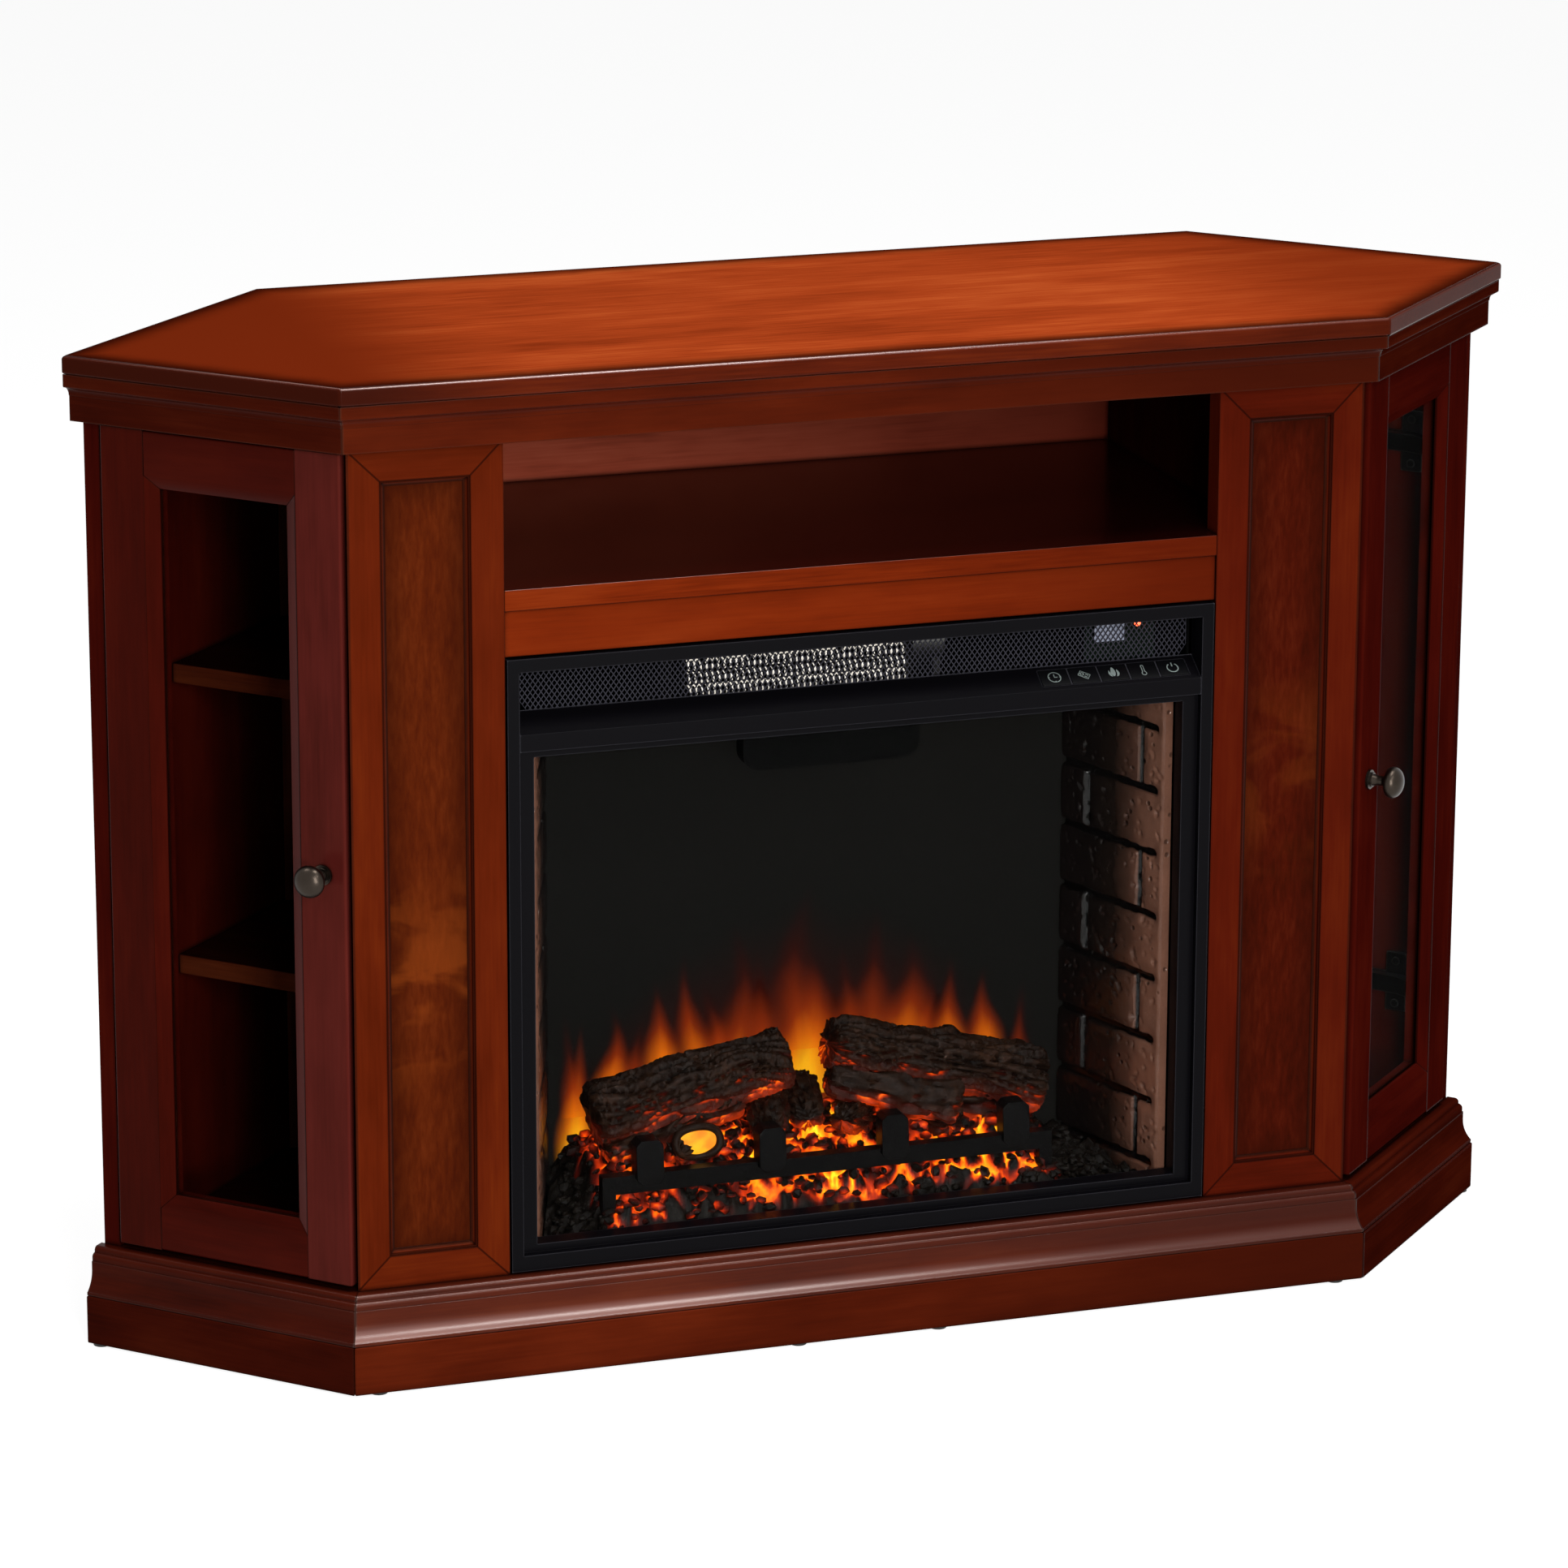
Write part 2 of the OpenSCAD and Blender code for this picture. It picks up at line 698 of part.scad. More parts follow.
module hinge_cups() door_place() hinge_sites() translate([door_w - cup_in, door_t, 0]) rotate([90, 0, 0]) {
    difference() {
        union() {
            cylinder(h = cup_d, r = cup_r, $fn = 64);
            translate([-10, -26, -flange_t]) cube([20, 52, flange_t]);
        }
        translate([0, 0, -flange_t - 1]) cylinder(h = cup_d + flange_t - 0.2, r = cup_r - 1.5, $fn = 64);
    }
    // link block in the cup, and the two screws in its flange
    translate([-9, -6, -flange_t]) cube([18, 12, cup_d + flange_t - 0.1]);
    for (s = [-1, 1]) translate([0, s*22, -flange_t - 1]) cylinder(h = 1, r = 3.2, $fn = 32);
}

module left_of() mirror([1, 0, 0]) children();

module right_door_stiles() color(dark_wood) door_stiles();
module right_door_rails() color(dark_wood) door_rails();
module right_door_glass() color("lightblue", 0.4) door_glass();
module right_glass_stops() color(dark_wood) glass_stops();
module right_knob() color("darkslategray") knob();
module right_hinge_cups() color(steel) hinge_cups();
module left_door_stiles() color(dark_wood) left_of() door_stiles();
module left_door_rails() color(dark_wood) left_of() door_rails();
module left_door_glass() color("lightblue", 0.4) left_of() door_glass();
module left_glass_stops() color(dark_wood) left_of() glass_stops();
module left_knob() color("darkslategray") left_of() knob();
module left_hinge_cups() color(steel) left_of() hinge_cups();

// Cross plate on the side board and the cranked arm over the cup
module hinge_arm() {
    v_front = door_v + door_t + flange_t + arm_gap;
    cup_u = door_u1 - cup_in;
    arm_h = 15;
    translate([0, 0, -arm_h/2]) linear_extrude(arm_h) polygon([
        [cup_u - 9, v_front], [cup_u + 9, v_front], [side_face - 9, v_front + 9],
        [side_face - 4, v_front + 20], [side_face - 4, v_front + 62],
        [side_face - 10, v_front + 62], [side_face - 13, v_front + 22],
        [cup_u + 4, v_front + 6], [cup_u - 9, v_front + 4]]);
    translate([side_face - 4, v_front + 16, -26]) cube([4, 18, 52]);
    translate([side_face - 4, v_front + 34 - eps, -8]) cube([4, 30, 16]);
    for (s = [-1, 1]) translate([side_face - 6, v_front + 25, s*19]) rotate([0, 90, 0])
        cylinder(h = 2 + eps, r = 3.5, $fn = 32);
}

module hinge_arms() color(steel) both_sides()
    translate([0, 0, door_z0]) hinge_sites() hinge_arm();

// ---------- insert: frame and casing ----------

module box_x(half, y0, y1, z0, z1) span([-half, y0, z0], [half, y1, z1]);

// Cut along the control strip: open above the slope, solid below it
module grille_cut() translate([-win_half, 0, 0]) along_x(2*win_half)
    polygon([[frame_y - 1, strip_z - strip_rise/frame_d], [frame_back + 1, grille_z0 + strip_rise/frame_d],
        [frame_back + 1, grille_z1], [frame_y - 1, grille_z1]]);

// Hollow under the strip and behind the lip
module strip_hollow() translate([-win_half + skin_t, 0, 0]) along_x(2*(win_half - skin_t))
    polygon([[frame_y + skin_t, window_top + skin_t], [frame_back + 1, window_top + skin_t],
        [frame_back + 1, grille_z0 + strip_rise/frame_d - skin_drop],
        [frame_y + skin_t, strip_z + skin_t*strip_rise/frame_d - skin_drop]]);

// Frame of one key: X along the strip, Y up its slope, Z out of it
module key_frame(i) translate([key_x + i*key_pitch, frame_y, strip_z]) rotate([strip_tilt, 0, 0])
    translate([0, strip_len/2, 0]) children();

module insert_frame() color(black_metal) place() difference() {
    box_x(frame_half, frame_y, frame_back, frame_z0, frame_z1);
    grille_cut();
    strip_hollow();
    box_x(win_half, frame_y - 1, frame_y + 7, win_z0, window_top);
    box_x(win_half - bezel_w, frame_y, frame_back + 1, win_z0 + bezel_w/2, window_top - bezel_w/2);
    // the lip and the control strip are one piece let in between the side bars
    box_x(win_half, frame_y - 1, frame_back + 1, window_top - mitre_gap, window_top);
    both_halves() span([win_half - mitre_gap, frame_y - 1, window_top - mitre_gap],
        [win_half, frame_back + 1, grille_z0 + 2]);
    for (i = [0:4]) key_frame(i) {
        w = key_w/2 + key_gap;
        l = key_l/2 + key_gap;
        span([-w, -l, -2*skin_t], [w, l, 1]);
    }
}

module insert_casing() color(black_metal) place() {
    inner = casing_half - sheet_t;
    // housing of the light that shines down on the logs
    translate([0, hearth_y0 + light_y + light_d, hood_z + eps]) rotate([90, 0, 0]) linear_extrude(light_d) hull() {
        translate([-light_half, -light_r]) square([2*light_half, light_r]);
        for (s = [-1, 1]) translate([s*(light_half - light_r), light_r - light_h]) circle(light_r, $fn = 48);
    }
    difference() {
        box_x(casing_half, frame_back, casing_back, deck_z, casing_top);
        box_x(inner, frame_back - 1, casing_back - sheet_t, floor_z, hood_z);
        box_x(inner, frame_back - 1, casing_back - sheet_t, hood_z + sheet_t, casing_top - sheet_t);
        inlet_site() cylinder(h = 20, r = 6.2, center = true, $fn = 48);
        for (i = [-6:6]) span([heater_x + i*14 - 4, casing_back - sheet_t - 1, hood_z + 16],
            [heater_x + i*14 + 4, casing_back + 1, casing_top - 14]);
    }
    // flanges screwed to the backs of the pilasters
    for (z = [160, 460]) both_halves() {
        span([casing_half + mitre_gap, frame_back, z], [divider_x - 4, frame_back + sheet_t, z + 30]);
        translate([divider_x - 14, frame_back + sheet_t, z + 15]) rotate([-90, 0, 0])
            cylinder(h = 2, r = 3.5, $fn = 32);
    }
}

module front_glass() color("lightblue", 0.4) place()
    box_x(casing_half - sheet_t - 0.5, glass_y, glass_y + 4, win_z0 + 1, window_top - 1);

// ---------- insert: hearth ----------

hearth_len = sqrt(pow(hearth_y1 - hearth_y0, 2) + pow(hearth_half - screen_half, 2));
hearth_turn = atan2(hearth_half - screen_half, hearth_y1 - hearth_y0);

// X along the brick wall from the glass to the screen, Y out of the room
module brick_wall_frame() translate([hearth_half, hearth_y0, floor_z]) rotate([0, 0, 90 + hearth_turn])
    children();

// One brick face with its edges eased
module brick(x0, x1, z0, z1) hull() {
    ease = 1.6;
    span([x0, -0.1, z0], [x1, 0, z1]);
    span([x0 + ease, 0, z0 + ease], [x1 - ease, mortar_d, z1 - ease]);
}

module brick_panel() place() intersection() {
    brick_wall();
    span([0, hearth_y0, 0], [half_w, hearth_y1 - 0.1, body_h]);
}

module brick_wall() brick_wall_frame() {
    wall_h = hood_z - floor_z;
    low = 34;   // part of the first course hidden below the floor
    courses = ceil((wall_h + low)/course_h);
    span([0, -mortar_d - panel_back, 0], [hearth_len, -mortar_d, wall_h]);
    intersection() {
        span([0, -mortar_d - 1, 0], [hearth_len, 1, wall_h]);
        for (k = [0:courses - 1], j = [-1:1]) {
            x0 = j*brick_l + (k % 2 == 0 ? 97 : 30) + mortar/2;
            translate([0, -mortar_d, 0])
                brick(x0, x0 + brick_l - mortar, k*course_h - low + mortar/2, (k + 1)*course_h - low - mortar/2);
        }
    }
}

module right_brick_panel() color("rosybrown") brick_panel();

module left_brick_panel() color("rosybrown") left_of() brick_panel();

module flame_screen() color("darkslategray") place()
    box_x(screen_half + 8, hearth_y1, hearth_y1 + 3, floor_z, hood_z);

// Pseudo-random number from 0 to 1, the same every time
function spread(i) = let(s = sin(i*127.1 + 31.7)*4373.31) s - floor(s);

// Height of the ember bed above the casing's floor: a mound behind the grate
// bar, with low coal rubble to the left and right of it
function ember_h(x, y) = let(
        t = (y - hearth_y0)/(hearth_y1 - hearth_y0),
        mound = 1/(1 + exp((abs(x + 15) - 198)/9)))
    6 + 17*t + 55*mound*sin(180*min(1, t*0.8 + 0.02)) + 3*sin(x*7 + y*3)*sin(y*9 - x*2)
        + 1.6*sin(x*17);

module ember_bed() color("orangered") place() ember_solid();

module ember_solid() {
    nx = 30;
    ny = 9;
    y0 = hearth_y0 + 1;
    y1 = hearth_y1 - 1;
    function half_at(y) = hearth_half - (hearth_half - screen_half)*(y - hearth_y0)/(hearth_y1 - hearth_y0)
        - 1.5;
    function bed_point(i, j, top) = let(
            y = y0 + (y1 - y0)*j/ny,
            x = half_at(y)*(2*i/nx - 1))
        [x, y, floor_z + (top ? ember_h(x, y) : 0)];
    row = nx + 1;
    lift = row*(ny + 1);
    points = [for (top = [1, 0], j = [0:ny], i = [0:nx]) bed_point(i, j, top == 1)];
    faces = concat(
        [for (j = [0:ny - 1], i = [0:nx - 1]) let(a = j*row + i) [a, a + row, a + 1]],
        [for (j = [0:ny - 1], i = [0:nx - 1]) let(a = j*row + i) [a + 1, a + row, a + row + 1]],
        [for (j = [0:ny - 1], i = [0:nx - 1]) let(a = lift + j*row + i) [a, a + 1, a + row]],
        [for (j = [0:ny - 1], i = [0:nx - 1]) let(a = lift + j*row + i) [a + 1, a + row + 1, a + row]],
        [for (i = [0:nx - 1]) [i, i + 1, i + lift]],
        [for (i = [0:nx - 1]) [i + 1, i + 1 + lift, i + lift]],
        [for (i = [0:nx - 1]) let(a = ny*row + i) [a + 1, a, a + lift]],
        [for (i = [0:nx - 1]) let(a = ny*row + i) [a + 1, a + lift, a + 1 + lift]],
        [for (j = [0:ny - 1]) let(a = j*row) [a, a + lift, a + row]],
        [for (j = [0:ny - 1]) let(a = j*row) [a + row, a + lift, a + row + lift]],
        [for (j = [0:ny - 1]) let(a = j*row + nx) [a, a + row, a + lift]],
        [for (j = [0:ny - 1]) let(a = j*row + nx) [a + row, a + row + lift, a + lift]]);
    polyhedron(points, faces);
}

// A knotty log from a to b, thicker at a
module log_solid(a, b, r0, r1, seed) {
    rings = 9;
    sides = 14;
    d = b - a;
    len = norm(d);
    turn = atan2(d[1], d[0]);
    rise = asin(d[2]/len);
    function ring_r(k, s) = let(t = k/rings, base = r0 + (r1 - r0)*t)
        base*(1 + 0.09*sin(seed*57 + s*360/sides*3 + k*23) + 0.07*(spread(seed*31 + k*sides + s) - 0.5)
            - (k == 0 || k == rings ? 0.12 : 0));
    points = concat(
        [for (k = [0:rings], s = [0:sides - 1]) let(a2 = s*360/sides + 4*k)
            [len*k/rings, ring_r(k, s)*cos(a2), ring_r(k, s)*sin(a2)]],
        [[-2, 0, 0], [len + 2, 0, 0]]);
    last = (rings + 1)*sides;
    faces = concat(
        [for (k = [0:rings - 1], s = [0:sides - 1]) let(n = (s + 1) % sides)
            [k*sides + n, k*sides + s, (k + 1)*sides + s]],
        [for (k = [0:rings - 1], s = [0:sides - 1]) let(n = (s + 1) % sides)
            [(k + 1)*sides + n, k*sides + n, (k + 1)*sides + s]],
        [for (s = [0:sides - 1]) [(s + 1) % sides, last, s]],
        [for (s = [0:sides - 1]) [rings*sides + s, last + 1, rings*sides + (s + 1) % sides]]);
    translate(a) rotate([0, -rise, turn]) polyhedron(points, faces);
}

// Logs, seated on the ember bed that they are cut to
module log_set() color("saddlebrown") place() difference() {
    union() {
        log_solid([-205, 114, 172], [-36, 114, 208], 23, 22, 1);
        log_solid([-2, 114, 217], [176, 112, 160], 21, 25, 2);
        log_solid([-196, 104, 147], [-80, 108, 180], 17, 15, 3);
        log_solid([-4, 112, 186], [148, 116, 144], 15, 17, 4);
        log_solid([-58, 94, 158], [-50, 134, 176], 15, 16, 5);
        log_solid([-22, 96, 156], [-20, 136, 172], 14, 15, 6);
        log_solid([92, 90, 142], [84, 132, 152], 14, 15, 7);
        log_solid([-128, 92, 143], [-100, 128, 152], 13, 14, 8);
    }
    ember_solid();
    box_x(half_w, 0, hearth_y0, 0, body_h);
}

// Bar across the embers with four hexagonal posts and its two feet
module grate() color(black_metal) place() {
    bar_y = hearth_y0 + 14;
    bar_z = 121;
    bar_d = 11;
    bar_h = 15;
    post_h = 24;
    difference() {
        union() {
            span([-208, bar_y, bar_z], [178, bar_y + bar_d, bar_z + bar_h]);
            for (x = [-208, 178 - bar_d])
                span([x, bar_y, floor_z], [x + bar_d, bar_y + bar_d, bar_z + 1]);
            for (x = [-168, -63, 43, 148])
                translate([x, bar_y + bar_d, bar_z + bar_h - 1 + post_h/2]) rotate([90, 0, 0])
                    linear_extrude(bar_d) polygon([[-10, -post_h/2], [10, -post_h/2],
                        [10, post_h/2 - 8], [5, post_h/2], [-5, post_h/2], [-10, post_h/2 - 8]]);
        }
        ember_solid();
    }
}

// ---------- insert: heater ----------

module heater_grille() color(steel) place() {
    y0 = frame_back;
    z1 = casing_top - sheet_t - 0.5;
    z0 = grille_z0 - 2.5;
    pitch = 2*(win_half - 6)/mesh_n;
    row = (grille_z1 - grille_z0 + 4)/mesh_rows;
    difference() {
        box_x(casing_half - sheet_t - 0.5, y0, y0 + 1.5, z0, z1);
        for (k = [0:mesh_rows - 1], i = [0:mesh_n - 1]) {
            cx = (i - (mesh_n - 1)/2)*pitch;
            cz = grille_z0 + (k + 0.5)*row - 2;
            a = (pitch - strand)/2;
            b = (row - strand)/2;
            translate([cx, y0 - 1, cz]) rotate([-90, 0, 0]) linear_extrude(4)
                polygon([[-a, 0], [0, -b], [a, 0], [0, b]]);
        }
    }
}

// Mica card frame with the coiled resistance wire strung over it
module heater_element() color("lightgray") place() {
    half = wheel_l/2;
    y0 = frame_back + 22;
    z0 = hood_z + sheet_t;
    z1 = casing_top - sheet_t;
    for (s = [-1, 1]) span([heater_x + s*half - 2, y0 - 6, z0], [heater_x + s*half + 2, y0 + 18, z1]);
    for (x = [-2:2]) span([heater_x + x*half/2.5 - 0.8, y0, z0 + 6], [heater_x + x*half/2.5 + 0.8, y0 + 12, z1 - 6]);
    for (z = [z0 + 14, (z0 + z1)/2, z1 - 14]) translate([heater_x - half, y0 + 6, z]) rotate([0, 90, 0])
        cylinder(h = 2*half, r = 3.4, $fn = 24);
    for (z = [z0 + 5, z1 - 6.5]) span([heater_x - half, y0, z], [heater_x + half, y0 + 12, z + 1.5]);
}

// Curved blade of the cross-flow wheel, in the plane across its axis
module blade_section() intersection() {
    difference() {
        translate([wheel_r - 4, 5]) circle(7, $fn = 64);
        translate([wheel_r - 4, 5]) circle(6, $fn = 64);
    }
    difference() {
        circle(wheel_r - 0.4, $fn = 96);
        circle(wheel_r - 8, $fn = 96);
    }
    translate([0, -10]) square([2*wheel_r, 15]);
}

module blower_wheel() color(black_metal) place()
    translate([heater_x - wheel_l/2, wheel_y, wheel_z]) rotate([0, 90, 0]) {
        disc = 1.5;
        for (z = [0, (wheel_l - disc)/2, wheel_l - disc]) translate([0, 0, z])
            cylinder(h = disc, r = wheel_r, $fn = 96);
        for (b = [0:blades - 1]) rotate([0, 0, b*360/blades]) linear_extrude(wheel_l) blade_section();
        translate([0, 0, -9]) cylinder(h = wheel_l + 28, r = shaft_r, $fn = 48);
    }

// Scroll sheet round the wheel, its end cheeks and the bush at the free end
module blower_housing() color(steel) place() {
    x0 = heater_x - wheel_l/2 - 6;
    x1 = heater_x + wheel_l/2 + 6;
    gap = 2.5;
    inner = wheel_r + gap;
    translate([x0, wheel_y, wheel_z]) along_x(x1 - x0) difference() {
        intersection() {
            circle(inner + 1.5, $fn = 96);
            translate([-4, -2*inner]) square([2*inner, 4*inner]);
        }
        circle(inner, $fn = 96);
    }
    for (x = [x0 - 1.5, x1]) difference() {
        span([x, wheel_y - 40, hood_z + sheet_t], [x + 1.5, wheel_y + inner + 1.5, casing_top - sheet_t]);
        translate([x - 1, wheel_y, wheel_z]) rotate([0, 90, 0]) cylinder(h = 4, r = shaft_r + shaft_fit, $fn = 48);
    }
}

module blower_motor() color("gray") place() {
    x0 = heater_x + wheel_l/2 + 14;
    translate([x0, wheel_y, wheel_z]) rotate([0, 90, 0]) difference() {
        union() {
            cylinder(h = 34, r = 25, $fn = 72);
            translate([0, 0, -4]) cylinder(h = 4 + eps, r = 8, $fn = 48);
        }
        translate([0, 0, -5]) cylinder(h = 12, r = shaft_r + shaft_fit, $fn = 48);
    }
    for (x = [x0 + 2, x0 + 26]) difference() {
        span([x, wheel_y - 20, hood_z + sheet_t], [x + 6, wheel_y + 20, wheel_z - 10]);
        translate([x - 1, wheel_y, wheel_z]) rotate([0, 90, 0]) cylinder(h = 8, r = 24.9, $fn = 72);
    }
}

// ---------- insert: flame effect and electrics ----------

// Rod with bent reflecting tabs
module flame_rotor() color(steel) place() translate([-rotor_l/2, rotor_y, rotor_z]) rotate([0, 90, 0]) {
    cylinder(h = rotor_l, r = shaft_r, $fn = 48);
    for (i = [0:tabs - 1]) rotate([0, 0, i*137.5]) translate([0, -4, 16 + i*(rotor_l - 40)/tabs])
        cube([tab_r, 8, 1]);
}

module rotor_motor() color("gray") place() {
    x0 = rotor_l/2 - 8;
    inner = casing_back - sheet_t;
    difference() {
        union() {
            translate([x0, rotor_y, rotor_z]) rotate([0, 90, 0]) cylinder(h = 26, r = 20, $fn = 72);
            span([x0 + 5, rotor_y - 6, floor_z], [x0 + 8, rotor_y + 6, rotor_z]);
        }
        translate([x0 - 1, rotor_y, rotor_z]) rotate([0, 90, 0]) cylinder(h = 10, r = shaft_r + shaft_fit, $fn = 48);
        span([x0 - 1, inner, rotor_z - 30], [x0 + 30, inner + 20, rotor_z + 30]);
        span([x0 - 1, hearth_y1 - 20, rotor_z - 30], [x0 + 30, hearth_y1 + 3, rotor_z + 30]);
    }
    difference() {
        span([-rotor_l/2 + 3, rotor_y - 8, floor_z], [-rotor_l/2 + 6, rotor_y + 8, rotor_z + 8]);
        translate([-rotor_l/2, rotor_y, rotor_z]) rotate([0, 90, 0]) cylinder(h = 10, r = shaft_r + shaft_fit, $fn = 48);
    }
}

// Two lamp strips behind the screen's foot
module ember_lamps() color("gold") place() {
    y0 = hearth_y1 + 3;
    box_x(170, y0, y0 + 1.6, floor_z + 6, floor_z + 20);
    for (i = [-7:7]) span([i*22 - 2.5, y0 + 1.6, floor_z + 10], [i*22 + 2.5, y0 + 3.4, floor_z + 15]);
}

// Board under the keys, and the upright board with receiver and indicator
module control_board() color("darkgreen") place() {
    key_frame(2) {
        span([-strip_half, -11, -skin_t - 6.2], [strip_half, 11, -skin_t - 4.6]);
        for (x = [1 - strip_half, strip_half - 4])
            span([x, -3, -skin_t - 4.6 - eps], [x + 3, 3, -skin_t - 0.02]);
    }
    for (i = [0:4]) key_frame(i) span([-3, -3, -skin_t - 4.6], [3, 3, -skin_t - 2 - key_travel - 0.3]);
    y0 = frame_back + 8;
    span([196, y0, hood_z + sheet_t], [256, y0 + 1.6, casing_top - 6]);
    span([209, y0 - 5, 554], [222, y0, 568]);
    translate([240, y0, 567]) rotate([90, 0, 0]) cylinder(h = 5, r = 2.5, $fn = 32);
}

// Key cap with a flange under the strip's skin
module key(i) color("black") place() key_frame(i) {
    span([-key_w/2, -key_l/2, -skin_t - 0.3], [key_w/2, key_l/2, 0.4]);
    span([-key_w/2, -key_l/2 - 1.5, -skin_t - 1.6], [key_w/2, key_l/2 + 1.5, -skin_t - 0.3]);
}

module timer_key() key(0);
module ember_key() key(1);
module flame_key() key(2);
module heat_key() key(3);
module power_key() key(4);

module inlet_site() translate([-220, casing_back - sheet_t/2, hood_z + 30]) rotate([90, 0, 0]) children();

// Bush where the supply lead leaves the casing
module cord_inlet() color("black") place() inlet_site() difference() {
    union() {
        cylinder(h = sheet_t, r = 6, center = true, $fn = 48);
        translate([0, 0, sheet_t/2]) cylinder(h = 4, r = 9, $fn = 48);
        translate([0, 0, -sheet_t/2 - 10]) cylinder(h = 10, r = 8, $fn = 48);
    }
    cylinder(h = 60, r = 3.2, center = true, $fn = 48);
}

top_slab();
sub_top();
top_moulding();
header_rails();
deck();
plinth();
base_moulding();
base_cleats();
left_divider();
right_divider();
left_pilaster_frame();
right_pilaster_frame();
left_pilaster_panel();
right_pilaster_panel();
media_shelf();
media_rail();
media_back();
lower_backs();
left_side_board();
right_side_board();
side_shelves();
shelf_pins();
glides();
hinge_arms();
left_door_stiles();
left_door_rails();
left_door_glass();
left_glass_stops();
left_knob();
left_hinge_cups();
right_door_stiles();
right_door_rails();
right_door_glass();
right_glass_stops();
right_knob();
right_hinge_cups();
insert_frame();
insert_casing();
front_glass();
left_brick_panel();
right_brick_panel();
flame_screen();
ember_bed();
log_set();
grate();
heater_grille();
heater_element();
blower_wheel();
blower_housing();
blower_motor();
flame_rotor();
rotor_motor();
ember_lamps();
control_board();
timer_key();
ember_key();
flame_key();
heat_key();
power_key();
cord_inlet();
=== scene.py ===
# Looks of the corner fireplace: a six-sided cherry media cabinet with glazed
# corner doors round an electric hearth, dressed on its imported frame.
import json
import random
from functools import partialmethod
from math import atan2, cos, exp, floor, hypot, pi, radians, sin, sqrt, tau

import bmesh
import bpy
from bmesh import ops
from mathutils import Matrix, Vector, noise


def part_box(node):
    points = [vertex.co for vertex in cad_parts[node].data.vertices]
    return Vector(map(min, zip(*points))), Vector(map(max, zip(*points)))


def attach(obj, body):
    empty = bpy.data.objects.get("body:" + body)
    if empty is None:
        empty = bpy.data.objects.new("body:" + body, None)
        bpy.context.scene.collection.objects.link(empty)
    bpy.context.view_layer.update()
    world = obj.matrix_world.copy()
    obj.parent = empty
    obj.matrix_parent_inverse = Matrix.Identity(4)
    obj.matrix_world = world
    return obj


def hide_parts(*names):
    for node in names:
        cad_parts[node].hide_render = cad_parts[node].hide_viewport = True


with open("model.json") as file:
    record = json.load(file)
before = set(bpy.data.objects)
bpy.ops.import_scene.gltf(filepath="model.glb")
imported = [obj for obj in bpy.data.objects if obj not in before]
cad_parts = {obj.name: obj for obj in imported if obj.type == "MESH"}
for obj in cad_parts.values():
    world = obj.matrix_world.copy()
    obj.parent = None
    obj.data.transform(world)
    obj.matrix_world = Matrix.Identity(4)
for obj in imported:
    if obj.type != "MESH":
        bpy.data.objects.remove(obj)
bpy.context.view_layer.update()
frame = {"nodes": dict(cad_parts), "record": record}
cad = frame["nodes"]
node_body = {n: b for b, members in frame["record"]["behaviour"]["bodies"].items() for n in members}

HALF_WIDTH = 0.6096
HALF_FRONT = 0.432        # half the straight front edge of the top
FRONT = -0.19            # front edge of the top
SIDE_POINT = FRONT + 0.1776     # where the two slanted edges of a side meet
FOOT = 0.002              # underside of the plinth
CHAMFER = radians(45)
MM = 0.001


# ----- colours and node helpers -----

def colour(code):
    """A screen colour such as #a04020 as the linear colour that a shader takes."""
    parts = [int(code[i:i + 2], 16)/255 for i in (1, 3, 5)]
    linear = [p/12.92 if p <= 0.04045 else ((p + 0.055)/1.055)**2.4 for p in parts]
    return (*linear, 1)


def dimmed(code, share):
    return (*(share*c for c in colour(code)[:3]), 1)


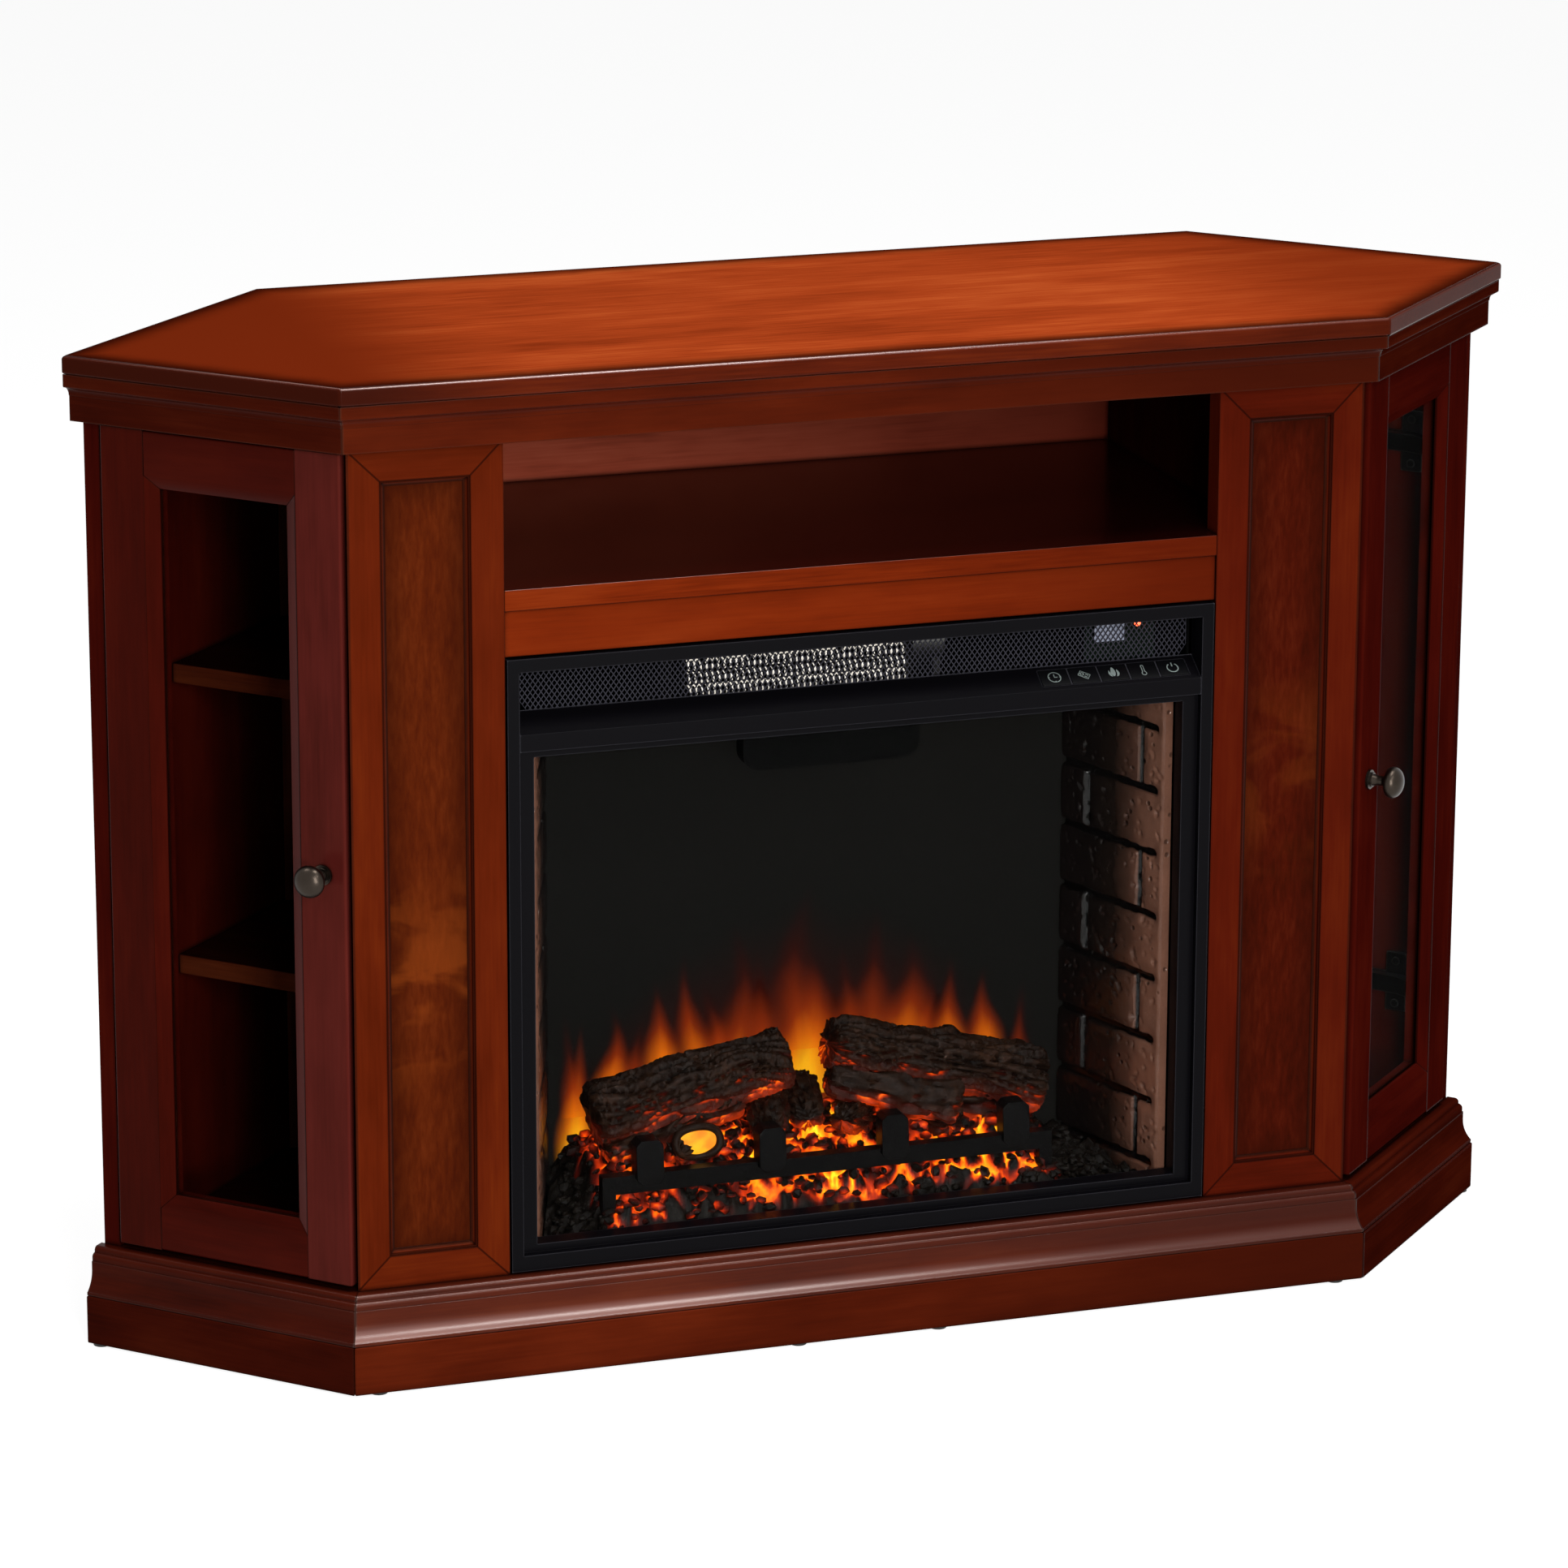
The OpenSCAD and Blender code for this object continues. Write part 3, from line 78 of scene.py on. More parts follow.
class Nodes:
    """Short calls for a tree's nodes. A colour is #rrggbb or linear values."""

    def __init__(self, tree):
        self.tree = tree

    def give(self, socket, value):
        """Links the socket to another one, or sets it."""
        if isinstance(value, bpy.types.NodeSocket):
            self.tree.links.new(value, socket)
        else:
            socket.default_value = colour(value) if isinstance(value, str) else value

    def node(self, kind, inputs=None, **settings):
        n = self.tree.nodes.new("ShaderNode" + kind)
        for key, value in settings.items():
            setattr(n, key, value)
        for key, value in (inputs or {}).items():
            self.give(n.inputs[key], value)
        return n

    def math(self, operation, a, b=0, clamp=False):
        return self.node("Math", {0: a, 1: b}, operation=operation, use_clamp=clamp).outputs[0]

    add = partialmethod(math, "ADD")
    sub = partialmethod(math, "SUBTRACT")
    mul = partialmethod(math, "MULTIPLY")
    min = partialmethod(math, "MINIMUM")
    max = partialmethod(math, "MAXIMUM")
    abs = partialmethod(math, "ABSOLUTE")
    flip = partialmethod(math, "SUBTRACT", 1)       # 1 less the value

    def mix(self, factor, a, b):
        return self.node("Mix", {0: factor, 6: a, 7: b}, data_type="RGBA", clamp_factor=True).outputs[2]

    def blend(self, factor, a, b):
        """Like mix, for plain values."""
        return self.node("Mix", {0: factor, 2: a, 3: b}, data_type="FLOAT").outputs[0]

    def place(self, scale=(1, 1, 1), turn=0, move=(0, 0, 0)):
        """Object coordinates, turned about the upright axis and then stretched."""
        coords = self.node("TexCoord").outputs["Object"]
        if turn:
            coords = self.node("Mapping", {"Vector": coords, "Rotation": (0, 0, -turn)}).outputs[0]
        return self.node("Mapping", {"Vector": coords, "Scale": scale, "Location": move}).outputs[0]

    def xyz(self, vector=None):
        """The parts of a vector, or else of the place in object coordinates."""
        return self.node("SeparateXYZ", {0: self.place() if vector is None else vector}).outputs

    def normal(self):
        return self.xyz(self.node("NewGeometry").outputs["Normal"])

    def attribute(self, name):
        return self.node("Attribute", attribute_name=name).outputs["Fac"]

    def noise(self, scale, detail=3, rough=0.55, distort=0, turn=0, move=(0, 0, 0)):
        """Noise over the place, stretched by one number or by three."""
        place = self.place(scale if isinstance(scale, tuple) else (scale,)*3, turn, move)
        return self.node("TexNoise", {"Vector": place, "Scale": 1, "Detail": detail,
            "Roughness": rough, "Distortion": distort}).outputs["Fac"]

    def ramp(self, factor, stops):
        n = self.node("ValToRGB", {"Fac": factor})
        band = n.color_ramp.elements
        for i in (0, -1):
            band[i].position, band[i].color = stops[i][0], colour(stops[i][1])
        for place, shade in stops[1:-1]:
            band.new(place).color = colour(shade)
        return n.outputs["Color"]

    def fade(self, value, low, high):
        """0 below low, 1 above high, smooth between."""
        return self.node("MapRange", {"Value": value, "From Min": low, "From Max": high},
            interpolation_type="SMOOTHSTEP").outputs[0]

    def crevice(self, reach, inside=False):
        """1 on open faces, falling to 0 in grooves (or, inside, towards outer edges)."""
        return self.node("AmbientOcclusion", {"Distance": reach}, samples=6, inside=inside).outputs["AO"]

    def seen(self):
        """1 where the camera, a reflection or glass looks, 0 for the rays that light things."""
        path = self.node("LightPath").outputs
        mirrored = self.max(path["Is Camera Ray"], path["Is Glossy Ray"])
        return self.max(mirrored, path["Is Transmission Ray"])


class Recipe(Nodes):
    """A new material and its shader."""

    def __init__(self, name):
        self.mat = bpy.data.materials.new(name)
        self.mat.use_nodes = True
        super().__init__(self.mat.node_tree)
        self.shader = self.tree.nodes["Principled BSDF"]

    def bump(self, height, strength, distance):
        n = self.node("Bump", {"Height": height, "Strength": strength, "Distance": distance})
        self.give(self.shader.inputs["Normal"], n.outputs[0])

    def set(self, tone, rough, shine=0.5, **more):
        """Gives the shader its colour, roughness, specular level and other inputs by name."""
        inputs = {"Base_Color": tone, "Roughness": rough, "Specular_IOR_Level": shine, **more}
        for key, value in inputs.items():
            self.give(self.shader.inputs[key.replace("_", " ")], value)
        return self.mat


# ----- wood -----

# Stains of the cherry. Besides the wood's own tones, several are lighter and darker copies that stand for
# light and shade: painted light and painted shade, as noted at each.
STAIN = {
    "top": ("#70240b", "#a03d18", "#be5828"),
    # painted shade: a darker copy of the top's stain, for its faces that don't look up
    "edge": ("#3a0f04", "#5a1c0a", "#742a0e"),
    "case": ("#441103", "#5e1d08", "#722a0b"),
    # painted shade: a darker copy of the case stain, for the right pilaster
    "case_right_shaded": ("#360b03", "#501306", "#62200a"),
    # painted light: a lighter copy of the door stain, for the left door's lock stile
    "lit_lock": ("#360d0a", "#501915", "#60211c"),
    # painted shade: the case's tones darkened for the corner faces, for the doors and end boards
    "door": ("#2a0503", "#3e0a05", "#4e1208"),
    "rail": ("#4c1205", "#742509", "#8a3411"),
    "mould": ("#360c04", "#501707", "#66220c"),
    # painted shade: a darker copy of the moulding stain, for the corner runs
    "mould_side_shaded": ("#240603", "#3c0e05", "#4e190a"),
    "cap": ("#34100a", "#501c0e", "#622814"),
    "veneer_left": ("#421306", "#541d08", "#64270d"),
    # painted shade: a darker copy of the left veneer, for the right panel
    "veneer_right": ("#300a03", "#420f05", "#52190a"),
    # painted shade: darkened for the shade in the cupboards and the bay
    "inside": ("#160403", "#260804", "#340f06"),
    # painted light: lighter than the shelves' tops, for their front edges
    "shelf_edge_lit": ("#381008", "#52200f", "#662c18"),
    # painted shade: darkened for the shade on the bay shelf's top
    "floor": ("#160302", "#240503", "#300a05"),
    # painted light: a lighter copy, for the bay's back wall where light reaches it
    "bay_back": ("#521c12", "#94422e", "#a8543e"),
}

GRAIN_STOPS = (0.3, 0.5, 0.7)     # where a stain's dark, middle and light tone lie in the grain
SHEEN = "#ff9a74"                   # the lacquer's reflections pick up the stain


def from_rim(r):
    """Distance inwards from the nearest of the top's six edges."""
    p = r.xyz()
    x, y = r.abs(p[0]), p[1]
    front_corner = r.mul(r.sub(r.add(y, HALF_FRONT - FRONT), x), sqrt(0.5))
    back_corner = r.mul(r.sub(HALF_WIDTH + SIDE_POINT, r.add(x, y)), sqrt(0.5))
    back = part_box("top_slab")[1].y
    near = r.min(r.sub(y, FRONT), r.sub(back, y))
    return r.min(near, r.min(front_corner, back_corner))


def cherry(name, stain, along, turn=0, glaze=5*MM, darker_rim=0, frame_box=None, seed=0,
        rough=0.2, shine=0.03, polish=0.1, edge_stain=None, shade=(), flat_shine=0,
        sheen=SHEEN, band=0, beads_above=None):
    """Stained cherry: broad figure, fine pores along the grain, painted shade in the grooves and
    polished dark edges. frame_box (x0, x1, z0, z1) turns the grain in the members along the top
    and bottom of that frame and draws its mitres and the lines beside its bead. edge_stain gives
    faces that don't look up their own stain, so that they differ from faces that look up as painted
    light and shade. darker_rim darkens the top's rim over that width, each shade (start, stop,
    amount) paints shade that deepens the tone from one x to another, and band paints a highlight
    that brightens slopes facing the light, fading to the right and less so above the height
    beads_above."""
    r = Recipe(name)
    dark, mid, _ = STAIN[stain]
    fine_share = 0.34 if edge_stain else 0.2

    def figure(axis):
        def stretch(length, across):
            return tuple(length if axis == a else across for a in "xyz")
        broad = r.noise(stretch(2.2, 15), 3, 0.55, 0.9, turn, (seed, seed, seed))
        fine = r.noise(stretch(14, 380), 2, 0.7, 0, turn, (seed, 0, seed))
        cloud = r.noise(stretch(9, 30), 3, 0.6, 0, turn, (0, seed, seed))
        return r.add(r.mul(broad, 0.42), r.add(r.mul(fine, fine_share), r.mul(cloud, 0.58 - fine_share)))

    grain = figure(along)
    line = None
    if frame_box:
        dx, dz = margins(r, r.xyz(r.place(turn=turn)), frame_box)
        across = r.math("LESS_THAN", dz, dx)
        grain = r.blend(across, grain, figure("x"))
        off = r.abs(r.sub(dz, dx))
        inner = r.min(dx, dz)
        bead = r.abs(r.sub(inner, 27.2*MM))
        line = r.max(r.flip(r.fade(off, 0.5*MM, 1.6*MM)), r.flip(r.fade(bead, 0.4*MM, 2*MM)))
        line = r.max(line, r.fade(inner, 29.5*MM, 31*MM))
    tone = r.ramp(grain, list(zip(GRAIN_STOPS, STAIN[stain])))
    blotch = r.noise(3, 3, 0.6, 0, turn, (seed, 3, 1))
    tone = r.mix(r.mul(r.fade(blotch, 0.35, 0.75), 0.35), tone, mid)
    # Painted light and shade: faces that don't look up take the edge stain, so that they differ from faces
    # that look up as lit and shaded faces do.
    if edge_stain:
        flat = r.fade(r.normal()[2], 0.55, 0.9)
        tone = r.mix(flat, r.ramp(grain, list(zip(GRAIN_STOPS, STAIN[edge_stain]))), tone)
        shine = r.blend(flat, shine, flat_shine)
    deep = r.mix(flat, STAIN[edge_stain][0], dark) if edge_stain else dark
    # Painted shade: each shade darkens the tone from one x to another, where less light falls.
    for start, stop, amount in shade:
        tone = r.mix(r.mul(r.fade(r.xyz()[0], start, stop), amount), tone, deep)
    # Near black for the painted shade in grooves, the frame's mitre and bead lines and the dark rounded
    # edges.
    black = "#160503"
    # Painted shade: darker where the ambient occlusion finds a groove or a join.
    groove = r.flip(r.crevice(glaze))
    tone = r.mix(r.mul(r.fade(groove, 0.06, 0.55), 0.92), tone, black)
    if line is not None:
        tone = r.mix(r.mul(line, 0.75), tone, black)
    worn = r.noise(40, 3, 0.6)
    if darker_rim:
        edge = r.flip(r.fade(from_rim(r), 1*MM, darker_rim))
        edge = r.math("POWER", edge, r.add(0.9, r.mul(worn, 1.8)))
        edge = r.mul(edge, r.add(0.2, r.mul(flat, 0.7)))
        tone = r.mix(edge, tone, "#220603")
    rounded = r.fade(r.flip(r.crevice(1.8*MM, inside=True)), 0.1, 0.6)
    tone = r.mix(r.mul(rounded, r.add(0.45, r.mul(worn, 0.5))), tone, black)
    gloss = r.blend(rounded, shine, polish)
    r.bump(grain, 0.1, 0.4*MM)
    coat = {}
    # Painted highlight: on slopes facing the moulding lamp, strongest at the left, the colour is lightened
    # towards #b07c70 and a clear coat added.
    if band:
        facing = r.normal()
        up = facing[2]
        p = r.xyz()
        lit = r.mul(r.fade(up, 0.26, 0.66), r.fade(up, 0.99, 0.86))
        lit = r.mul(lit, r.fade(r.abs(facing[0]), 0.35, 0.15))
        lit = r.mul(lit, r.flip(r.mul(r.fade(p[0], -0.3, 0.25), 0.8)))
        if beads_above:
            beads = r.fade(p[2], beads_above - 1*MM, beads_above + 1*MM)
            lit = r.mul(lit, r.flip(r.mul(beads, 0.8)))
        coat = {"Coat_Weight": r.mul(lit, 0.5*band), "Coat_IOR": 2, "Coat_Roughness": 0.22}
        tone = r.mix(r.mul(lit, 0.34*band), tone, "#b07c70")
    return r.set(tone, rough, gloss, Specular_Tint=sheen, **coat)


def margins(r, p, box):
    """Distances inwards from the nearer side of the box, and from its nearer end."""
    x0, x1, z0, z1 = box
    return r.min(r.sub(p[0], x0), r.sub(x1, p[0])), r.min(r.sub(p[2], z0), r.sub(z1, p[2]))


def burl(name, stain, seed, warm_z, warmth, edges):
    """Mottled veneer of the pilaster panels, with painted shade towards its edges and in its grooves,
    and a warmer patch at one height; edges are the panel's left, right, lower and upper limits."""
    r = Recipe(name)
    dark, mid, light = STAIN[stain]
    cloud = r.noise((20, 20, 7), 4, 0.6, 0.6, move=(seed, 0, seed))
    mottle = r.noise((260, 260, 60), 3, 0.62, 0.3, move=(seed, 0, 0))
    figure = r.add(r.mul(cloud, 0.5), r.mul(mottle, 0.5))
    tone = r.ramp(figure, [(0.32, dark), (0.5, mid), (0.68, light)])
    p = r.xyz()
    # Painted shade towards the panel's edges, where the frame stands round it.
    rim = r.flip(r.fade(r.min(*margins(r, p, edges)), 2*MM, 30*MM))
    tone = r.mix(r.mul(rim, 0.5), tone, "#260803")
    near = r.flip(r.fade(r.abs(r.sub(p[2], warm_z)), 0.01, 0.11))
    patch = r.noise((16, 16, 26), 3, 0.5, 0.8, move=(seed, 1, 2))
    glow = r.mul(near, r.fade(patch, 0.4, 0.62))
    tone = r.mix(r.mul(glow, warmth), tone, "#a04a18")
    # Painted shade in the grooves.
    groove = r.flip(r.crevice(9*MM))
    tone = r.mix(r.mul(r.fade(groove, 0.05, 0.6), 0.9), tone, "#120402")
    r.bump(figure, 0.06, 0.4*MM)
    return r.set(tone, 0.22, 0.03, Specular_Tint=SHEEN)


def back_board(name):
    """Thin stained board, duller and plainer than the fronts."""
    r = Recipe(name)
    grain = r.noise((160, 160, 7), 3, 0.6)
    tone = r.ramp(grain, [(0.3, "#4a1a0d"), (0.7, "#6a2a14")])
    r.bump(grain, 0.1, 0.3*MM)
    return r.set(tone, 0.6, 0.06)


# ----- metal, glass and plastic -----

def metal(name, tone, rough, grain=0, wear_and_highlight=None, metallic=1, scale=60, shine=0.5, **more):
    """Metal with a faint mottle, and light edges in the given colour: worn high spots on the knobs and
    hinges, and a painted highlight along the edges of the satin frame.
    """
    r = Recipe(name)
    mottle = r.noise(scale, 4, 0.65)
    shade = r.mix(mottle, tone, dimmed(tone, 0.72))
    if wear_and_highlight:
        edge = r.flip(r.crevice(1.5*MM, inside=True))
        shade = r.mix(r.fade(edge, 0.2, 0.9), shade, wear_and_highlight)
    if grain:
        r.bump(mottle, grain, 0.3*MM)
    return r.set(shade, r.add(r.mul(mottle, 0.14), rough - 0.07), shine, Metallic=metallic, **more)


def two_toned(name, grit, dark, light, rough, shine=0.5, relief=None, **more):
    """A surface between two tones; grit is for noise() and relief for bump()."""
    r = Recipe(name)
    cloud = r.noise(*grit)
    if relief:
        r.bump(cloud, *relief)
    return r.set(r.mix(cloud, dark, light), rough, shine, **more)


def plastic(name, tone, rough, shine=0.4):
    return two_toned(name, (300, 2, 0.5), tone, dimmed(tone, 0.8), rough, shine, (0.05, 0.1*MM))


def clear_glass(name, tint, ior):
    """Clear pane that lets shadow rays through, so what stands behind it is lit."""
    r = Recipe(name)
    smear = r.noise((9, 9, 5), 3, 0.6)
    r.set(tint, r.mul(r.fade(smear, 0.45, 0.8), 0.008), Transmission_Weight=1, IOR=ior)
    path = r.node("LightPath").outputs
    through = r.max(path["Is Shadow Ray"], path["Is Diffuse Ray"])
    clear = r.node("BsdfTransparent", {"Color": tint})
    both = r.node("MixShader", {0: through, 1: r.shader.outputs[0], 2: clear.outputs[0]})
    r.give(r.tree.nodes["Material Output"].inputs["Surface"], both.outputs[0])
    return r.mat


# ----- pieces cut from the frame's own solids -----

def islands(bm):
    """Groups of faces that hang together."""
    left = set(bm.faces)
    groups = []
    while left:
        stack = [left.pop()]
        group = [stack[0]]
        while stack:
            for edge in stack.pop().edges:
                for face in edge.link_faces:
                    if face in left:
                        left.remove(face)
                        group.append(face)
                        stack.append(face)
        groups.append(group)
    return groups


def linked(name, data):
    """A new object in the scene."""
    thing = bpy.data.objects.new(name, data)
    bpy.context.scene.collection.objects.link(thing)
    return thing


def finish(name, bm, mat, body="cabinet", replaces=(), smooth=35, even=False):
    """Turns a bmesh into a named piece that rides on its body."""
    mesh = bpy.data.meshes.new(name)
    bm.to_mesh(mesh)
    bm.free()
    for face in mesh.polygons:
        face.use_smooth = True
    mesh.set_sharp_from_angle(angle=radians(smooth))
    piece = linked(name, mesh)
    for one in mat if isinstance(mat, list) else [mat]:
        mesh.materials.append(one)
    if even:
        piece.modifiers.new("even_normals", "WEIGHTED_NORMAL").keep_sharp = True
    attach(piece, body)
    if replaces:
        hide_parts(*replaces)
    return piece


def merged(node):
    """A copy of a solid's mesh with its triangles joined into whole faces."""
    bm = bmesh.new()
    bm.from_mesh(cad[node].data)
    ops.remove_doubles(bm, verts=bm.verts, dist=0.01*MM)
    ops.dissolve_limit(bm, angle_limit=radians(0.6), verts=bm.verts, edges=bm.edges,
        use_dissolve_boundaries=False)
    return bm


def bevel(bm, geom, width, steps, clamp=False):
    return ops.bevel(bm, geom=geom, offset=width, offset_type="OFFSET", segments=steps, profile=0.5,
        affect="EDGES", clamp_overlap=clamp, material=-1)["faces"]


def ease_edges(bm, width, steps=2):
    """Rounds every edge sharper than 38 degrees."""
    sharp = [e for e in bm.edges if len(e.link_faces) == 2 and e.calc_face_angle(0) > radians(38)]
    bevel(bm, sharp, width, steps, clamp=True)


def close_behind(bm, axis, depth):
    """Gives an open sheet sides that end at depth along the axis, and a flat back."""
    rim = ops.extrude_edge_only(bm, edges=[e for e in bm.edges if e.is_boundary])["geom"]
    for v in (g for g in rim if isinstance(g, bmesh.types.BMVert)):
        setattr(v.co, axis, depth)
    ops.contextual_create(bm, geom=[g for g in rim if isinstance(g, bmesh.types.BMEdge)])


def outward(bm):
    ops.recalc_face_normals(bm, faces=bm.faces)


def dressed(node, piece, materials, ease=0.8*MM, steps=2, pick=None):
    """A refined copy of a solid that stands for it; pick(centre) chooses a material for each part."""
    bm = merged(node)
    if pick:
        for group in islands(bm):
            centre = sum((f.calc_center_median()*f.calc_area() for f in group), Vector())
            centre /= sum(f.calc_area() for f in group)
            for face in group:
                face.material_index = pick(centre)
    if ease:
        ease_edges(bm, ease, steps)
    finish(piece, bm, materials, node_body[node], (node,), even=True)


def by_run(centre):
    """Front, left or right run of a moulding."""
    return 0 if abs(centre.x) < 0.4 else (1 if centre.x < 0 else 2)


def three_stains(name, front, sides, **more):
    """The front's stain along the front and the sides' stain along the two corner sides; the calls give the
    sides a darker stain as painted shade. Only the front keeps the painted highlight band and darkens
    towards the right as painted shade.
    """
    left = {**more, "shine": 0.4*more["shine"], "band": 0}
    right = {**left, "shine": 0, "polish": 0.05}
    return [cherry(f"{name}_front", front, "x", 0, seed=1, shade=RIGHT_END_SHADE, **more),
        cherry(f"{name}_left", sides, "x", -CHAMFER, seed=4, **left),
        cherry(f"{name}_right", sides, "x", CHAMFER, seed=7, **right)]


def paint(node, *materials):
    """Gives a solid that is kept as it is its material."""
    cad[node].data.materials.clear()
    for mat in materials:
        cad[node].data.materials.append(mat)


# ----- cabinet -----

RIGHT_END_SHADE = ((-0.1, 0.36, 0.8),)      # painted shade: the front's pieces darken towards the right, away from the lamps


def cabinet():
    # Painted light and shade on the top: a darker stain on its faces that don't look up, darker towards both
    # ends, and a painted highlight along its front edge.
    dressed("top_slab", "top_board",
        [cherry("cherry_top", "top", "x", darker_rim=38*MM, polish=1, edge_stain="edge",
                shade=((-0.26, -0.42, 1), (0.26, 0.5, 0.75)), sheen="#ffe9df", band=1)],
        2.4*MM, steps=4)
    # The corner runs of the mouldings and plinth take the darker side stain: painted shade.
    mould = three_stains("cherry_moulding", "mould", "mould_side_shaded", glaze=9*MM, shine=0.06, polish=0.4,
        rough=0.18, band=0.5)
    cap = three_stains("cherry_base_cap", "cap", "mould_side_shaded", glaze=8*MM, shine=0.12, polish=0.4, rough=0.2,
        sheen="#ffd6c4", band=1, beads_above=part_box("base_moulding")[1].z - 14*MM)
    board = three_stains("cherry_plinth", "mould", "mould_side_shaded", glaze=9*MM, shine=0.04)
    dressed("top_moulding", "top_mouldings", mould, 0.6*MM, pick=by_run)
    dressed("base_moulding", "base_cap_mouldings", cap, 0.6*MM, pick=by_run)
    dressed("plinth", "plinth_boards", board, 1.2*MM, pick=by_run)
    # Inner pieces take the darkened inside stain: painted shade.
    inside = cherry("cherry_inside", "inside", "x", rough=0.42, shine=0, polish=0.05)
    upright = cherry("cherry_upright", "inside", "z", rough=0.38, shine=0, polish=0.05)
    for side, sign, seed, warm, warmth in (("left", -1, 2, 0.33, 0.3), ("right", 1, 5, 0.44, 0.1)):
        gloss = {"shine": 0.01} if sign < 0 else {"shine": 0, "polish": 0.03}
        low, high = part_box(f"{side}_pilaster_frame")
        outline = (low.x, high.x, low.z, high.z)
        inset = 27*MM
        # The right pilaster and its veneer take darker stains: painted shade.
        dressed(f"{side}_pilaster_frame", f"{side}_pilaster_members",
            [cherry(f"cherry_{side}_pilaster", "case" if sign < 0 else "case_right_shaded", "z",
                    frame_box=outline, seed=seed)], 0.6*MM)
        dressed(f"{side}_pilaster_panel", f"{side}_veneer_panel",
            [burl(f"veneer_{side}", f"veneer_{side}", seed, warm, warmth,
                  (low.x + inset, high.x - inset, low.z + inset, high.z - inset))], 0.5*MM)
        # The end boards take the doors' darkened stain: painted shade.
        dressed(f"{side}_side_board", f"{side}_end_board",
            [cherry(f"cherry_{side}_end", "door", "z", sign*CHAMFER, seed=seed + 1, **gloss)], 0.8*MM)
        dressed(f"{side}_divider", f"{side}_bay_side", upright, 0.6*MM)
    # The bay shelf's top takes a darkened stain and its front edges the lighter rail stain (painted shade
    # and light), with a painted highlight and painted shade towards the right.
    dressed("media_shelf", "bay_shelf",
        [cherry("cherry_bay_shelf", "floor", "x", seed=3, edge_stain="rail", flat_shine=0.22, band=0.4,
                shade=RIGHT_END_SHADE)], 0.9*MM)
    dressed("media_rail", "bay_rail",
        [cherry("cherry_bay_rail", "rail", "x", seed=6, band=0.6, shade=RIGHT_END_SHADE)], 0.8*MM)
    for node in ("sub_top", "header_rails", "deck", "base_cleats"):
        paint(node, inside)
    boards = back_board("stained_back_board")
    paint("lower_backs", boards)
    # The bay's back takes a lighter stain that darkens towards the right: painted light and painted shade.
    paint("media_back", cherry("cherry_bay_back", "bay_back", "x", rough=0.4, shine=0, seed=2.5,
        shade=((-0.25, 0.42, 0.95),)))
    # The shelves' tops take the darkened inside stain and the left ones' front edges a lighter one: painted
    # shade and painted light.
    shelf = [cherry("cherry_left_shelf", "inside", "x", -CHAMFER, seed=2, edge_stain="shelf_edge_lit"),
        cherry("cherry_right_shelf", "inside", "x", CHAMFER, seed=3, shine=0)]
    dressed("side_shelves", "cupboard_shelves", shelf, 0.7*MM,
        pick=lambda c: 0 if c.x < 0 else 1)
    paint("glides", plastic("glide_plastic", "#17130f", 0.5))
    paint("shelf_pins", metal("pin_steel", "#9a958c", 0.3))


def doors():
    pane = clear_glass("door_pane", "#f2f4f1", 1.012)
    pewter = metal("antique_pewter", "#3b342e", 0.32, grain=0.06, wear_and_highlight="#5f574e", scale=220)
    steel = metal("hinge_steel", "#3b3936", 0.3, wear_and_highlight="#a8a49c")
    for side, sign, seed in (("left", -1, 11), ("right", 1, 14)):
        turn = sign*CHAMFER
        gloss = {"shine": 0.06} if sign < 0 else {"shine": 0, "polish": 0.03}
        # The door wood takes the stain darkened for the corner faces: painted shade.
        stile = cherry(f"cherry_{side}_stile", "door", "z", turn, seed=seed, **gloss)
        rail = cherry(f"cherry_{side}_rail", "door", "x", turn, seed=seed + 1, **gloss)
        lock_stile = stile
        # The left door's lock stile takes a lighter stain and more shine: painted light.
        if sign < 0:
            lock_stile = cherry("cherry_left_lock_stile", "lit_lock", "z", turn, seed=seed + 2, shine=0.1,
                polish=0.06, rough=0.26)
        low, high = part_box(f"{side}_door_stiles")
        middle = (low + high).x/2
        dressed(f"{side}_door_stiles", f"{side}_door_uprights", [stile, lock_stile], 0.6*MM,
            pick=lambda c: 1 if c.x > middle else 0)
        dressed(f"{side}_door_rails", f"{side}_door_crossbars", rail, 0.6*MM)
        dressed(f"{side}_glass_stops", f"{side}_glazing_strips", rail, 0.5*MM)
        paint(f"{side}_door_glass", pane)
        dressed(f"{side}_knob", f"{side}_mushroom_knob", pewter, 0)
        dressed(f"{side}_hinge_cups", f"{side}_cups", steel, 0.3*MM)
    dressed("hinge_arms", "cranked_arms", steel, 0.5*MM)


# ----- hearth insert -----

def at(x, y, z):
    """A place in millimetres: y from the front edge of the top, z from the plinth's foot."""
    return Vector((x*MM, FRONT + y*MM, FOOT + z*MM))


def swell(x, y, z):
    """Smooth noise about zero."""
    return noise.noise(Vector((x, y, z)))


def smooth(value, low, high):
    t = min(1, max(0, (value - low)/(high - low)))
    return t*t*(3 - 2*t)


# The hearth, in the millimetres of at()
HEARTH_Y, HEARTH_DEEP = 50.5, 126   # its front, and its depth to the screen
SCREEN_Y = 176.3                    # just before the screen
FLOOR_Z = 80.6                      # just above the casing's floor
WALL_FRONT, NARROWING = 265, 44     # half width at the front, and how much less at the back
WALL_TURN = atan2(NARROWING, HEARTH_DEEP)
WALL_LENGTH, WALL_HEIGHT, WALL_THICK = 132.6, 434.4, 8.8
COURSE, BRICK, JOINT_DEPTH = 53.4, 134, 4.2
WALL_LOW = 34                     # part of the first course below the floor


